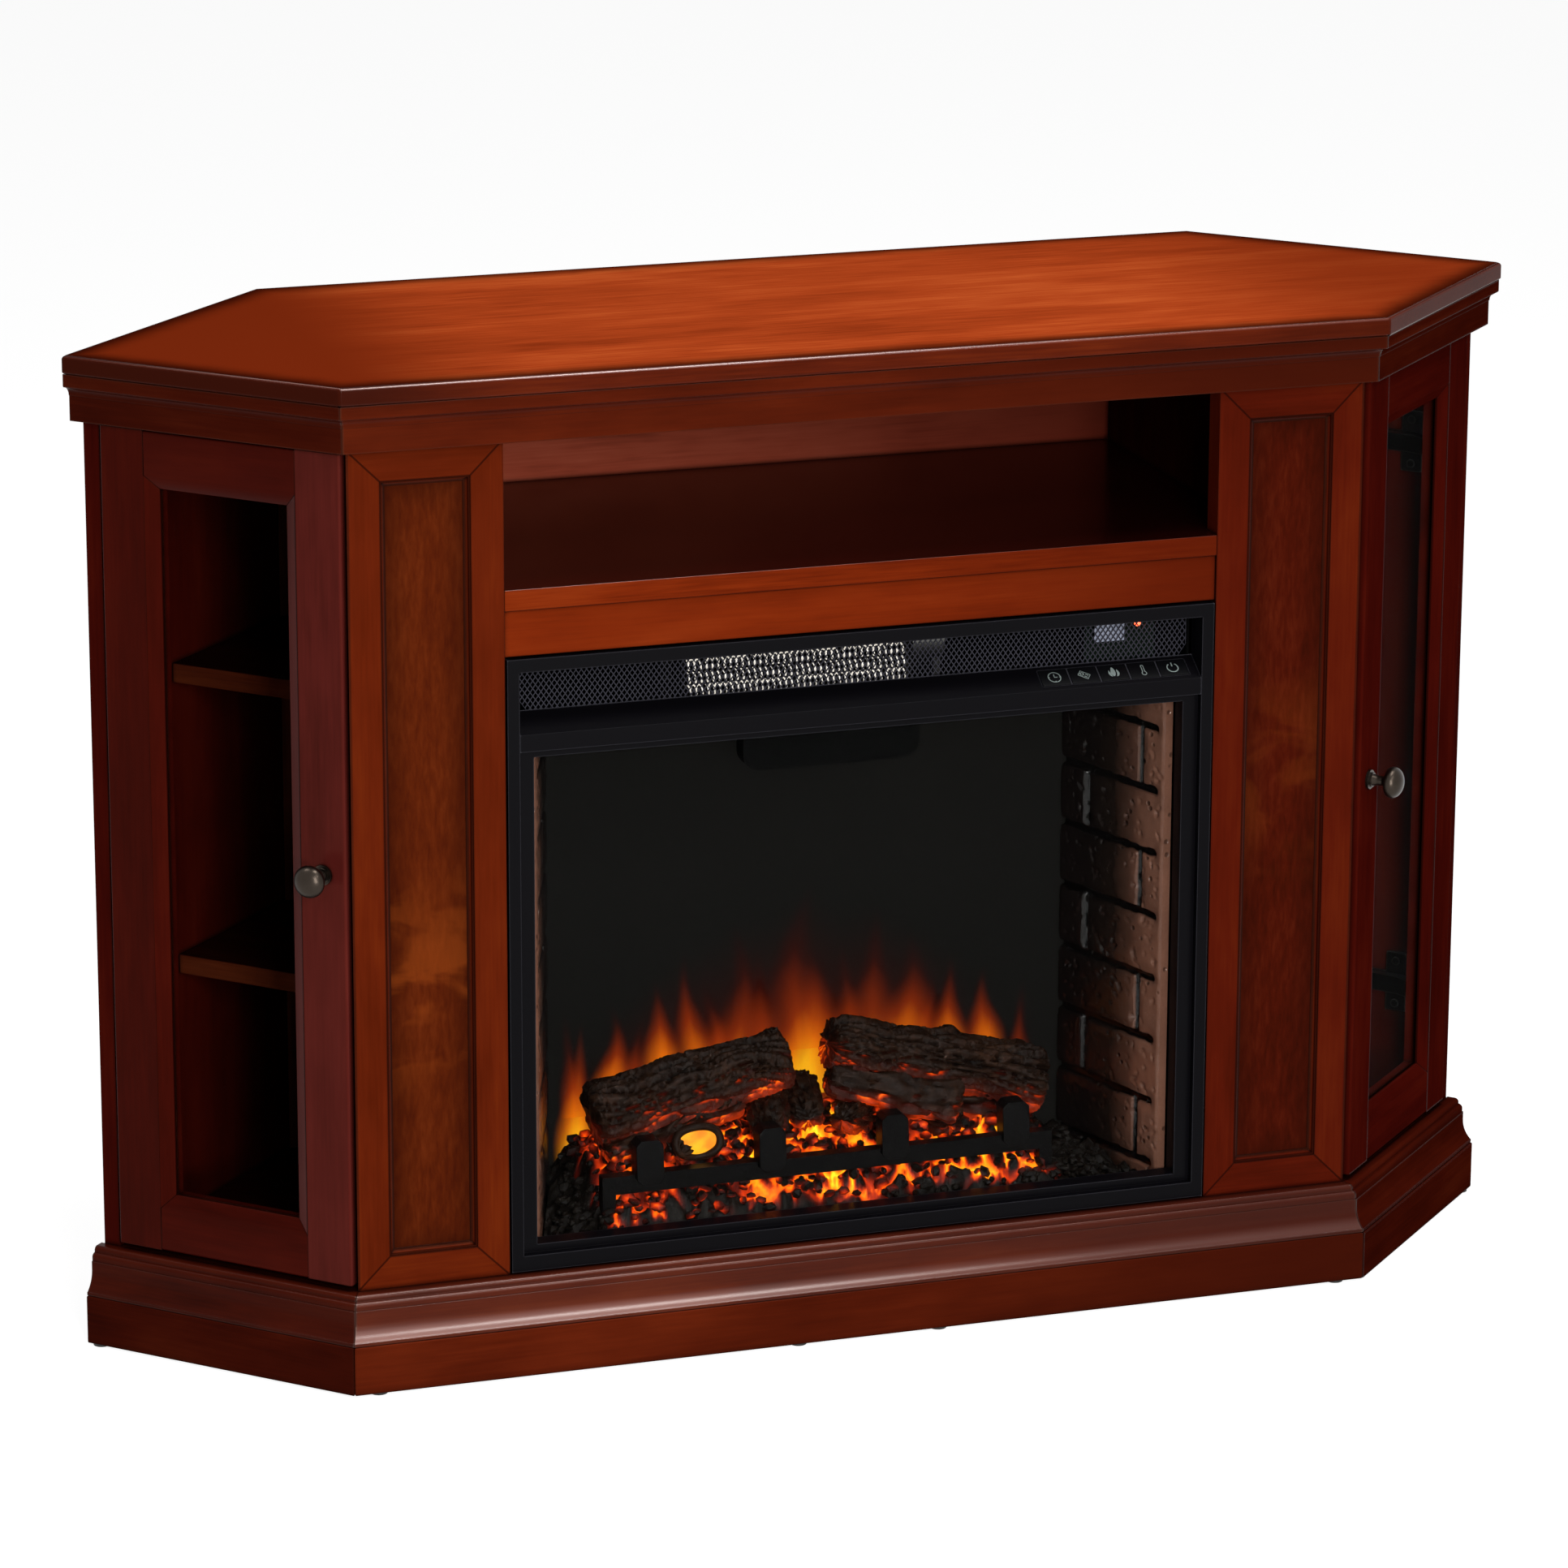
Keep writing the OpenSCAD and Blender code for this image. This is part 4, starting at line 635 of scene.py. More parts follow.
def brick_depth(u, w, pits):
    """Height of the brick face at u along the wall and w up it, and how deep it lies in a joint."""
    row = floor((w + WALL_LOW)/COURSE)
    level = (w + WALL_LOW) - row*COURSE
    shake = 1.5*swell(u*0.09, w*0.09, 3)
    end = max(0, 11.5 - u)
    flat = hypot(end, min(level, COURSE - level)) + shake
    line = 97 if row % 2 == 0 else 30
    upright = abs((u - line + BRICK/2) % BRICK - BRICK/2) + 0.6*shake
    near = min(flat, upright)
    open_joint = 1 - smooth(near, 2.1, 3.9)
    depth = -JOINT_DEPTH*open_joint - 0.9*(1 - smooth(near, 3.5, 11))
    depth -= 3*(1 - smooth(WALL_LENGTH - u, 0, 3.5)) + 1.2*(1 - smooth(u, 0, 3))
    depth += 0.35*swell(u*0.12, w*0.12, 9)
    for pu, pw, long, wide, turn, deep in pits.get(row, ()):
        du, dw = u - pu, w - pw
        if abs(du) < 6 and abs(dw) < 6:
            a = (du*cos(turn) + dw*sin(turn))/long
            b = (dw*cos(turn) - du*sin(turn))/wide
            depth -= deep*exp(-(a*a + b*b)**1.5)*(1 - open_joint)
    return depth, open_joint


def brick_wall(side, sign, clay):
    rng = random.Random(61 + sign)
    pits = {}
    for row in range(9):
        for _ in range(44):
            pits.setdefault(row, []).append((
                rng.uniform(4, WALL_LENGTH - 3), row*COURSE - WALL_LOW + rng.uniform(6, COURSE - 6),
                rng.uniform(1.4, 3.4), rng.uniform(1, 1.8), rng.uniform(0, pi), rng.uniform(0.9, 1.9)))
    bm = bmesh.new()
    ops.create_grid(bm, x_segments=98, y_segments=300, size=0.5)
    groove = bm.verts.layers.float.new("joint")
    for v in bm.verts:
        u, w = (v.co.x + 0.5)*WALL_LENGTH, (v.co.y + 0.5)*WALL_HEIGHT
        depth, v[groove] = brick_depth(u, w, pits)
        v.co = Vector((u, depth, w))
    close_behind(bm, "y", -WALL_THICK)
    along, aside = cos(WALL_TURN), sin(WALL_TURN)
    for v in bm.verts:
        u, h, w = v.co
        y = min(SCREEN_Y, HEARTH_Y + u*along - h*aside)
        v.co = at(sign*(WALL_FRONT - u*aside - h*along), y, FLOOR_Z + w)
    outward(bm)
    finish(f"{side}_brick_wall", bm, clay, replaces=(f"{side}_brick_panel",), smooth=60)


def brick_clay():
    """Copper-brown moulded brick, darker towards the back, with black joints and painted shade in its pits.
    """
    r = Recipe("moulded_brick")
    joint = r.attribute("joint")
    y = r.xyz()[1]
    cloud = r.noise(30, 4, 0.6)
    toward_back = r.add(r.fade(y, FRONT + 62*MM, FRONT + 158*MM), r.mul(cloud, 0.25))
    tone = r.ramp(toward_back, [(0.06, "#9a6a57"), (0.28, "#5c3e32"), (0.6, "#201713"),
        (1, "#0c0909")])
    sand = r.noise(700, 2, 0.6)
    tone = r.mix(r.mul(sand, 0.35), tone, "#1d120e")
    tone = r.mix(r.fade(joint, 0.25, 0.7), tone, "#040303")
    # Painted shade in the pits: some Voronoi cells darken towards near black.
    cells = r.node("TexVoronoi", {"Vector": r.place((1, 1, 1)), "Scale": 95, "Randomness": 1})
    dent = r.flip(r.fade(cells.outputs["Distance"], 0.1, 0.26))
    some = r.xyz(cells.outputs["Color"])[0]
    dent = r.mul(dent, r.math("GREATER_THAN", some, 0.45))
    tone = r.mix(r.mul(dent, 0.5), tone, "#0a0706")
    r.bump(r.sub(r.mul(sand, 0.12), dent), 0.8, 1.4*MM)
    return r.set(tone, 0.24, 0.26)


# ----- embers, coals and logs -----

BED_Y, BED_DEEP, BED_Z = 51.6, 123.6, 80.5      # front, depth and foot of the ember bed


def bed_height(x, y):
    """Height of the ember bed above the casing's floor, as the solid has it."""
    t = (y - HEARTH_Y)/HEARTH_DEEP
    mound = 1/(1 + exp((abs(x + 15) - 198)/9))
    return (6 + 17*t + 55*mound*sin(pi*min(1, t*0.8 + 0.02))
        + 3*sin(radians(x*7 + y*3))*sin(radians(y*9 - x*2)) + 1.6*sin(radians(x*17)))


def bed_half(y):
    return 263.5 - NARROWING*(y - HEARTH_Y)/HEARTH_DEEP


def glow_zone(x, y):
    """1 where the bed glows, 0 on the dead coals round it."""
    drift = 14*swell(x*0.02, y*0.05, 5)
    sides = 1 - smooth(abs(x + 12) + drift, 176, 200)
    front = smooth(y - 0.016*(x + 190) + 0.3*drift, 54, 62)
    return sides*front


def cracks(x, y, size, seed):
    """0 in the gaps between lumps of the given size, rising over the lumps."""
    near = noise.voronoi(Vector((x/size, y/size, seed)))[0]
    return near[1] - near[0]


def ember_bed(coal):
    """Lumpy bed that glows in the gaps between its coals."""
    bm = bmesh.new()
    ops.create_grid(bm, x_segments=300, y_segments=76, size=0.5)
    heat = bm.verts.layers.float.new("glow")
    for v in bm.verts:
        y = BED_Y + (v.co.y + 0.5)*BED_DEEP
        x = bed_half(y)*2*v.co.x
        lumps, grit = cracks(x, y*1.2, 15, 1), cracks(x, y, 6.5, 4)
        zone = glow_zone(x, y)
        rise = 4.5*smooth(lumps, 0, 0.5) + 2.2*smooth(grit, 0, 0.5)
        patch = smooth(swell(x*0.03, y*0.045, 2.5), -0.6, 0.25)
        v[heat] = zone*patch*(1 - smooth(lumps, 0.03, 0.34))*(1 - 0.7*smooth(grit, 0.1, 0.5))
        edge = smooth(BED_Y + 8 - y, 0, 4)
        v.co = at(x, y, BED_Z + bed_height(x, y) - 4 + rise*(1 - 0.6*edge))
    close_behind(bm, "z", at(0, 0, FLOOR_Z).z)
    outward(bm)
    finish("glowing_ember_bed", bm, coal, replaces=("ember_bed",), smooth=70)


def loose_coals(coal):
    """Broken coals strewn over the bed, the biggest where it glows."""
    rng = random.Random(8)
    bm = bmesh.new()
    heat = bm.verts.layers.float.new("glow")
    for i in range(980):
        y = rng.uniform(56, 168)
        x = rng.uniform(-1, 1)*(bed_half(y) - 8)
        zone = glow_zone(x, y)
        if zone > 0.4 and rng.random() < 0.15:
            continue
        size = rng.uniform(2.6, 5.2) if zone < 0.4 else rng.uniform(2.6, 6.5)
        made = ops.create_icosphere(bm, subdivisions=1, radius=1)["verts"]
        turn = Matrix.Rotation(rng.uniform(0, tau), 3, "Z") @ Matrix.Rotation(rng.uniform(0, 3), 3, "X")
        shape = Vector((rng.uniform(0.8, 1.6), rng.uniform(0.7, 1.1), rng.uniform(0.5, 0.9)))
        centre = at(x, y, BED_Z + bed_height(x, y) + 0.25*size)
        for v in made:
            lump = 1 + 0.28*noise.noise(v.co*1.7 + Vector((i*3.1, 0, 0)))
            v[heat] = 0.5*zone*smooth(-v.co.z, 0.3, 0.9)
            v.co = centre + turn @ Vector([c*s for c, s in zip(v.co*lump, shape)])*size*MM
    finish("loose_coals", bm, coal, smooth=25)


def ember_coal():
    r = Recipe("glowing_coal")
    heat = r.attribute("glow")
    ash = r.noise(260, 4, 0.65)
    big = r.noise(55, 3, 0.6)
    tone = r.ramp(ash, [(0.3, "#070505"), (0.6, "#14100d"), (0.8, "#29221d")])
    flow = r.mul(heat, r.add(0.3, r.mul(big, 1.15)))
    fire = r.ramp(flow, [(0, "#000000"), (0.1, "#4a0a02"), (0.3, "#b02a04"),
        (0.52, "#f06008"), (0.8, "#ff9c12"), (1, "#ffd026")])
    r.bump(ash, 0.6, 1*MM)
    return r.set(tone, 0.45, 0.06, Emission_Color=fire, Emission_Strength=1.7)


def bark_skin():
    r = Recipe("charred_bark")
    heat = r.attribute("glow")
    crack = r.attribute("crack")
    fibre = r.noise(150, 5, 0.7)
    cloud = r.noise(28, 3, 0.6)
    tone = r.ramp(r.add(r.mul(fibre, 0.6), r.mul(cloud, 0.4)),
        [(0.32, "#0c0604"), (0.52, "#20120b"), (0.7, "#3c2417")])
    tone = r.mix(r.mul(crack, 0.9), tone, "#030202")
    burn = r.mul(heat, r.add(0.35, fibre))
    fire = r.ramp(burn, [(0, "#000000"), (0.14, "#3a0802"), (0.4, "#b83004"),
        (0.7, "#f4690a"), (1, "#ff9c18")])
    r.bump(fibre, 0.6, 0.9*MM)
    return r.set(tone, 0.45, 0.06, Emission_Color=fire, Emission_Strength=1.3)


def log(name, a, b, r0, r1, seed, bark, sides=110, rings=150, burn=0.5, knots=()):
    """A split, cracked log from a to b, with rough ends and a warm underside."""
    bm = bmesh.new()
    ops.create_cone(bm, cap_ends=True, cap_tris=False, segments=sides, radius1=1, radius2=1, depth=1)
    along = [e for e in bm.edges if abs(e.verts[0].co.z - e.verts[1].co.z) > 0.5]
    ops.subdivide_edges(bm, edges=along, cuts=rings, use_grid_fill=True)
    for cap in [f for f in bm.faces if len(f.verts) > 4]:
        for _ in range(5):
            ops.inset_region(bm, faces=[cap], thickness=0.17)
    heat = bm.verts.layers.float.new("glow")
    crack = bm.verts.layers.float.new("crack")
    length = (b - a).length
    turn = (b - a).to_track_quat("Z", "Y").to_matrix()
    for v in bm.verts:
        t = min(1, max(0, v.co.z + 0.5))
        angle = atan2(v.co.y, v.co.x)
        reach = min(1, hypot(v.co.x, v.co.y))
        ring = Vector((cos(angle), sin(angle), 0))
        run = t*length
        twist = 0.5*swell(run*0.02, seed, 2)
        bent = (cos(angle + twist), sin(angle + twist))

        def grow(way, round_it, along_it, shift):
            return swell(way[0]*round_it, way[1]*round_it, run*along_it + seed*shift)

        lump, ridge = grow(ring, 0.9, 0.018, 7), abs(grow(bent, 4.2, 0.022, 3))
        fine, groove = abs(grow(ring, 9, 0.05, 5)), abs(grow(bent, 11, 0.035, 9))
        cross = abs(grow(ring, 2.2, 0.16, 4))
        split = 1 - smooth(ridge, 0, 0.1)
        radius = (r0 + (r1 - r0)*t)*(1 + 0.16*lump)
        radius += 3*smooth(ridge, 0.05, 0.5) - 3.4*split - 1.1*(1 - smooth(fine, 0, 0.12))
        radius -= 1.9*(1 - smooth(groove, 0, 0.14)) + 1.3*(1 - smooth(cross, 0, 0.06))
        for kt, ka, kr in knots:
            off = hypot((t - kt)*length, (angle - ka)*radius)
            radius += 6*exp(-(off/kr)**4)
        tip = min(t, 1 - t)*length
        radius -= 2.2*(1 - smooth(tip, 0, 4.5))
        v[crack] = max(split, 0.7*(1 - smooth(groove, 0, 0.1))) if reach > 0.98 else 0.5
        down = -(turn @ ring).z
        patch = smooth(swell(run*0.03, angle*0.6, seed), -0.2, 0.4)
        v[heat] = burn*(smooth(down, -0.1, 0.9)*(0.25 + 0.75*patch)*(0.4 + 0.6*split)
            + 0.7*split*patch*smooth(down, -0.7, 0.4))
        rough = 3*swell(v.co.x*3.5, v.co.y*3.5, seed + t*5)
        end = (-1 if t < 0.5 else 1)*(rough + 1.5*(1 - reach)) if tip < 0.5 else 0
        v.co = turn @ (ring*radius*reach + Vector((0, 0, run + end)))
    for v in bm.verts:
        v.co = at(*(v.co + a))
    outward(bm)
    return finish(name, bm, bark, smooth=70)


def logs(bark):
    first = log("left_log", Vector((-203, 112, 172)), Vector((-38, 114, 207)), 29, 24, 1, bark, burn=0.8)
    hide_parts("log_set")
    log("right_log", Vector((0, 114, 215)), Vector((182, 112, 165)), 22, 26, 2, bark, burn=0.75,
        knots=((0.54, 1.2, 9),))
    for name, a, b, r0, r1, seed in (
            ("left_under_log", (-196, 104, 147), (-80, 108, 178), 18, 15, 3),
            ("right_cut_branch", (-4, 104, 188), (104, 92, 160), 15, 19, 4),
            ("right_under_log", (60, 118, 160), (158, 116, 146), 17, 17, 9),
            ("middle_stub", (-62, 84, 158), (-44, 134, 178), 15, 16, 5),
            ("middle_knuckle", (-26, 88, 160), (-20, 136, 174), 13, 15, 6),
            ("broken_piece", (2, 82, 158), (30, 108, 150), 12, 11, 10),
            ("right_stub", (96, 86, 142), (84, 132, 152), 14, 15, 7),
            ("left_stub", (-140, 88, 141), (-104, 128, 152), 12, 14, 8)):
        log(name, Vector(a), Vector(b), r0, r1, seed, bark, sides=44, rings=40, burn=1)


# ----- flames -----

TONGUES = (  # foot x, foot z, tip x, tip z, width, heat
    (-198, 108, -193, 222, 27, 1), (-203, 150, -204, 236, 18, 0.45), (-166, 160, -171, 238, 27, 0.7),
    (-145, 168, -142, 226, 22, 0.45), (-122, 176, -133, 256, 28, 0.7), (-98, 182, -103, 278, 24, 0.55),
    (-62, 184, -59, 296, 36, 0.4), (-34, 188, -47, 274, 28, 0.45), (4, 150, -1, 262, 60, 1),
    (2, 190, 0, 322, 54, 0.35), (32, 190, 35, 274, 24, 0.4), (56, 193, 60, 300, 32, 0.3),
    (84, 186, 92, 276, 42, 0.45), (133, 168, 119, 254, 27, 0.75), (154, 168, 162, 242, 27, 0.7),
    (187, 130, 192, 224, 22, 0.6), (-80, 180, -84, 246, 30, 0.5), (108, 180, 104, 236, 26, 0.4))


def flame_sheet(name, columns, rows, heat, light, shape):
    """A sheet of light just before the screen; shape(s, t) gives the place for s from -1 to 1
    across and t from 0 to 1 upward, and how near that is to the side."""
    bm = bmesh.new()
    ops.create_grid(bm, x_segments=columns, y_segments=rows, size=0.5)
    warm, across, upward = (bm.verts.layers.float.new(n) for n in ("glow", "across", "upward"))
    for v in bm.verts:
        t = v.co.y + 0.5
        place, side = shape(2*v.co.x, t)
        v[warm], v[across], v[upward] = heat, side, t
        v.co = at(*place)
    finish(name, bm, light)


def flame_tongue(index, foot_x, foot_z, tip_x, tip_z, width, heat, light):
    """One thin tongue of light, hot at its foot."""
    width, tip_z = 1.45*width, foot_z + 1.14*(tip_z - foot_z)
    bend = 0.16*width*sin(index*2.3)

    def shape(s, t):
        centre = foot_x + (tip_x - foot_x)*t**1.4 + bend*sin(t*pi*1.3 + index)
        half = 0.5*width*(1 - t)**0.8*(1 + 0.35*sin(min(1, t*1.8)*pi))
        return (centre + s*half, 175.9 - 0.35*(index % 14) - 0.3, foot_z + (tip_z - foot_z)*t), abs(s)

    flame_sheet(f"flame_tongue_{index + 1:02d}", 10, 30, heat, light, shape)


def flame_haze(light):
    """Wide soft glow that the tongues rise from."""
    foot = 128

    def shape(s, t):
        x = -20 + 183*s
        crown = 320 - 0.003*(x - 2)**2 + 12*swell(x*0.045, 1, 0)
        return (x, 176.2, foot + (crown - foot)*t), abs(s)**3

    flame_sheet("flame_haze", 60, 24, 0.16, light, shape)


def flame_light():
    """Light without a body: yellow at the foot, red and thinner towards the tip."""
    r = Recipe("flame_light")
    heat = r.attribute("glow")
    across = r.attribute("across")
    upward = r.attribute("upward")
    waver = r.noise((24, 1, 8), 3, 0.5, 0.6)
    cool = r.add(upward, r.mul(r.sub(waver, 0.5), 0.5))
    cool = r.add(cool, r.mul(across, 0.25))
    cool = r.sub(cool, r.mul(r.sub(heat, 0.8), 0.7))
    tone = r.ramp(cool, [(0, "#ffb21a"), (0.25, "#f2760e"), (0.55, "#a8380c"),
        (0.95, "#501208")])
    side = r.flip(r.fade(across, 0, 1))
    rise = r.flip(r.fade(upward, 0.05, 1))
    streak = r.add(0.55, r.mul(r.noise((46, 1, 7), 3, 0.5, 0.5), 0.9))
    thin = r.mul(r.mul(side, rise), r.add(0.25, r.mul(heat, 0.85)))
    thin = r.mul(thin, streak, clamp=True)
    return r.set("#000000", 1, 0, Emission_Color=tone, Emission_Strength=1, Alpha=thin)


def flames():
    light = flame_light()
    flame_haze(light)
    for index, tongue in enumerate(TONGUES):
        flame_tongue(index, *tongue, light)


# ----- head of the insert -----

def expanded_mesh(metal_skin):
    """Fine diamond mesh in front of the heater."""
    low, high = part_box("heater_grille")
    wide, tall = high.x - low.x, high.z - low.z
    step_x, step_z = 4.4*MM, 6.2*MM
    count = int(max(wide/step_x, tall/step_z)) + 4
    bm = bmesh.new()
    ops.create_grid(bm, x_segments=count, y_segments=count, size=count/2)
    ops.rotate(bm, verts=bm.verts, matrix=Matrix.Rotation(radians(45), 3, "Z"))
    half = sqrt(0.5)
    far = [v for v in bm.verts if abs(v.co.y)*step_z*half > tall/2 + 2*step_z]
    ops.delete(bm, geom=far, context="VERTS")
    for v in bm.verts:
        v.co = Vector((v.co.x*step_x*half, v.co.y*step_z*half, 0))
    for axis, reach in ((Vector((1, 0, 0)), wide/2), (Vector((0, 1, 0)), tall/2)):
        for sign in (-1, 1):
            ops.bisect_plane(bm, geom=bm.verts[:] + bm.edges[:] + bm.faces[:], plane_co=axis*reach*sign,
                plane_no=axis*sign, clear_outer=True)
    holes = bm.faces[:]
    ops.inset_individual(bm, faces=holes, thickness=0.42*MM, use_even_offset=True)
    ops.delete(bm, geom=holes, context="FACES")
    ops.solidify(bm, geom=bm.faces, thickness=0.8*MM)
    middle = (low + high)/2
    for v in bm.verts:
        v.co = Vector((middle.x + v.co.x, low.y + 0.3*MM + v.co.z + 0.8*MM, middle.z + v.co.y))
    outward(bm)
    finish("heater_mesh", bm, metal_skin, replaces=("heater_grille",))


def wire_piece(name, runs, radius, mat, body="cabinet", closed=False, flatten=None, sides=1):
    """Round wires through the points of each run, made a mesh."""
    curve = bpy.data.curves.new(name, "CURVE")
    curve.dimensions = "3D"
    curve.bevel_depth = radius
    curve.bevel_resolution = sides
    curve.use_fill_caps = True
    for run in runs:
        spline = curve.splines.new("POLY")
        spline.points.add(len(run) - 1)
        for p, co in zip(spline.points, run):
            p.co = (*co, 1)
        spline.use_cyclic_u = closed
    temp = bpy.data.objects.new(name, curve)
    mesh = bpy.data.meshes.new_from_object(temp)
    bpy.data.objects.remove(temp)
    bpy.data.curves.remove(curve)
    bm = bmesh.new()
    bm.from_mesh(mesh)
    bpy.data.meshes.remove(mesh)
    if flatten:
        ops.transform(bm, verts=bm.verts, matrix=flatten)
    return finish(name, bm, mat, body, smooth=60)


def heater_coils(wire):
    """Coiled resistance wire strung in three rows."""
    turns, steps, radius = 38, 12, 4.3
    rows = []
    for row, z in enumerate((536, 546.5, 557)):
        rows.append([at(-140 + 190*k/(turns*steps), 72 + radius*cos(tau*k/steps + row),
            z + radius*sin(tau*k/steps + row)) for k in range(turns*steps + 1)])
    wire_piece("heater_coils", rows, 0.6*MM, wire)


KEY_ORDER = ("timer", "ember", "flame", "heat", "power")
KEY_X, KEY_PITCH = 163, 25.4        # middle of the first key, and the step to the next
STRIP_RISE, STRIP_RUN = 14, 23      # the slope that the keys are on
STRIP_TILT = atan2(STRIP_RISE, STRIP_RUN)


def key_place(i):
    """Matrix from a key's own face, in millimetres, to its place on the slope."""
    middle = Matrix.Translation(at(KEY_X + KEY_PITCH*i, 23.5, 525)) @ Matrix.Rotation(STRIP_TILT, 4, "X")
    return middle @ Matrix.Scale(MM, 4) @ Matrix.Translation((0, hypot(STRIP_RISE, STRIP_RUN)/2, 0.4))


def arc(cx, cy, r, start, stop, steps):
    return [(cx + r*cos(radians(start + (stop - start)*k/steps)),
        cy + r*sin(radians(start + (stop - start)*k/steps)), 0) for k in range(steps + 1)]


def leaf(points):
    """Closed outline through the points, rounded between them."""
    out = []
    n, steps = len(points), 8
    for i in range(n):
        p0, p1, p2, p3 = (Vector((*points[(i + k) % n], 0)) for k in (-1, 0, 1, 2))
        for s in range(steps):
            t = s/steps
            out.append(tuple(0.5*((2*p1) + (p2 - p0)*t + (2*p0 - 5*p1 + 4*p2 - p3)*t*t
                + (3*p1 - p0 - 3*p2 + p3)*t**3)))
    return out


def key_signs(pale):
    """Plain signs on the keys: clock, log, flame, thermometer and power."""
    tilt = Matrix.Rotation(radians(-35), 3, "Z")

    def tilted(points):
        return [tuple(tilt @ Vector(p)) for p in points]

    barrel = ((-4.4, -2.6, 0), (-4.4, 2.6, 0), (4.4, 2.6, 0), (4.4, -2.6, 0), (-4.4, -2.6, 0))
    signs = {
        "timer": [arc(0, 0, 5.2, 0, 360, 40), [(0, 3.2, 0), (0, 0, 0), (2.6, 0, 0)],
                  [(0, -5, 0), (0, -4, 0)], [(-5, 0, 0), (-4, 0, 0)], [(5, 0, 0), (4, 0, 0)]],
        "ember": [tilted(barrel), tilted(arc(-2, 0, 1.4, 0, 360, 18)),
                  tilted(((0.6, 1.1, 0), (3.4, 1.1, 0))), tilted(((0.6, -1.1, 0), (3.4, -1.1, 0)))],
        "heat": [arc(0, -3.6, 1.9, -240, 60, 22) + [(0.95, 4.2, 0)] + arc(0, 4.2, 0.95, 0, 180, 8)
                 + [(-0.95, -2, 0)]],
        "power": [arc(0, -0.2, 4.6, -235, 55, 40), [(0, 5.2, 0), (0, 1.2, 0)]],
    }
    for i, key in enumerate(KEY_ORDER):
        if key in signs:
            wire_piece(f"{key}_key_sign", signs[key], 0.38 if key != "power" else 0.5, pale,
                f"{key}_key_body", flatten=key_place(i) @ Matrix.Diagonal((1, 1, 0.22, 1)))
    bm = bmesh.new()        # the flame's three leaves
    for points in (((-0.6, 5.6), (1.4, 2), (1.2, -1.8), (-0.6, -4.2), (-2.6, -1.6), (-2.2, 1.8)),
            ((-3.8, 2.4), (-3, -0.4), (-2.4, -3.2), (-1.6, -4.6), (-3.8, -3.2), (-4.6, -0.4)),
            ((3, 2.8), (4.6, -0.6), (3.6, -3.6), (1.2, -4.8), (2.4, -2.6), (2.6, 0.2))):
        made = [bm.verts.new(p) for p in leaf(points)]
        ops.contextual_create(bm, geom=made)
    top = ops.extrude_face_region(bm, geom=bm.faces[:])["geom"]
    ops.translate(bm, verts=[g for g in top if isinstance(g, bmesh.types.BMVert)], vec=(0, 0, 0.1))
    outward(bm)
    ops.transform(bm, verts=bm.verts, matrix=key_place(KEY_ORDER.index("flame")))
    finish("flame_key_sign", bm, pale, "flame_key_body")


def indicator():
    """Red indicator and the receiver's window behind the mesh."""
    r = Recipe("red_indicator")
    r.set("#a00c08", 0.2, Emission_Color=r.mix(r.noise(400), "#ff1a08", "#ff6a40"), Emission_Strength=6)
    bm = bmesh.new()
    ops.create_uvsphere(bm, u_segments=24, v_segments=12, radius=3.2*MM)
    ops.translate(bm, verts=bm.verts, vec=at(240, 50.2, 568))
    finish("indicator_lens", bm, r.mat)
    bm = bmesh.new()
    ops.create_cube(bm, size=1)
    ops.scale(bm, verts=bm.verts, vec=(26*MM, 1.2*MM, 15*MM))
    bevel(bm, bm.edges[:], 0.5*MM, 2)
    ops.translate(bm, verts=bm.verts, vec=at(215, 49.2, 562))
    window = two_toned("receiver_window", (90,), "#6d7386", "#a4a9bb", 0.25, 0.6)
    finish("receiver_window", bm, window, even=True)


def lit_knot(bark):
    """Oval hole below the left log through which the lamps shine, with a rim of bark."""
    x, z = -121, 151
    r = Recipe("knot_glow")
    r.set("#3a1404", 0.8, Emission_Strength=1.35,
        Emission_Color=r.mix(r.fade(r.noise(60), 0.3, 0.7), "#ff7c04", "#ffb412"))
    bm = bmesh.new()
    ops.create_uvsphere(bm, u_segments=32, v_segments=16, radius=1)
    for v in bm.verts:
        v.co = Vector((v.co.x*18, v.co.y*4, v.co.z*13))
        v.co = at(v.co.x + x, v.co.y + 88, v.co.z + z)
    finish("lit_knot_hole", bm, r.mat)
    ring = [at(x + 19*cos(a), 86 + 1.5*sin(3*a), z + 13.5*sin(a)) for a in (tau*k/36 for k in range(36))]
    rim = wire_piece("knot_rim", [ring], 3.4*MM, bark, closed=True, sides=3)
    for name in ("glow", "crack"):      # the bark's material reads both
        rim.data.attributes.new(name, "FLOAT", "POINT")


def grate(iron):
    """The bar with its four cast lugs, each a leaning block with bevelled corners."""
    bm = merged("grate")
    ease_edges(bm, 2.2*MM, 3)
    for x in (-169, -65, 40, 145):
        made = ops.create_cube(bm, size=1)["verts"]
        for v in made:
            v.co = at(x + 23*v.co.x, 68.5 + 17*v.co.y + 3*v.co.z, 146.5 + 37*v.co.z)
        corners = [e for e in bm.edges if all(v in made for v in e.verts)
            and abs(e.verts[0].co.y - e.verts[1].co.y) > 10*MM]
        cut = bevel(bm, corners, 4.5*MM, 1)
        bevel(bm, list({e for f in cut for v in f.verts for e in v.link_edges}), 0.8*MM, 2)
    for v in bm.verts:
        v.co += v.normal*0.5*MM*noise.noise(v.co*90)
    finish("cast_grate", bm, iron, replaces=("grate",), even=True)


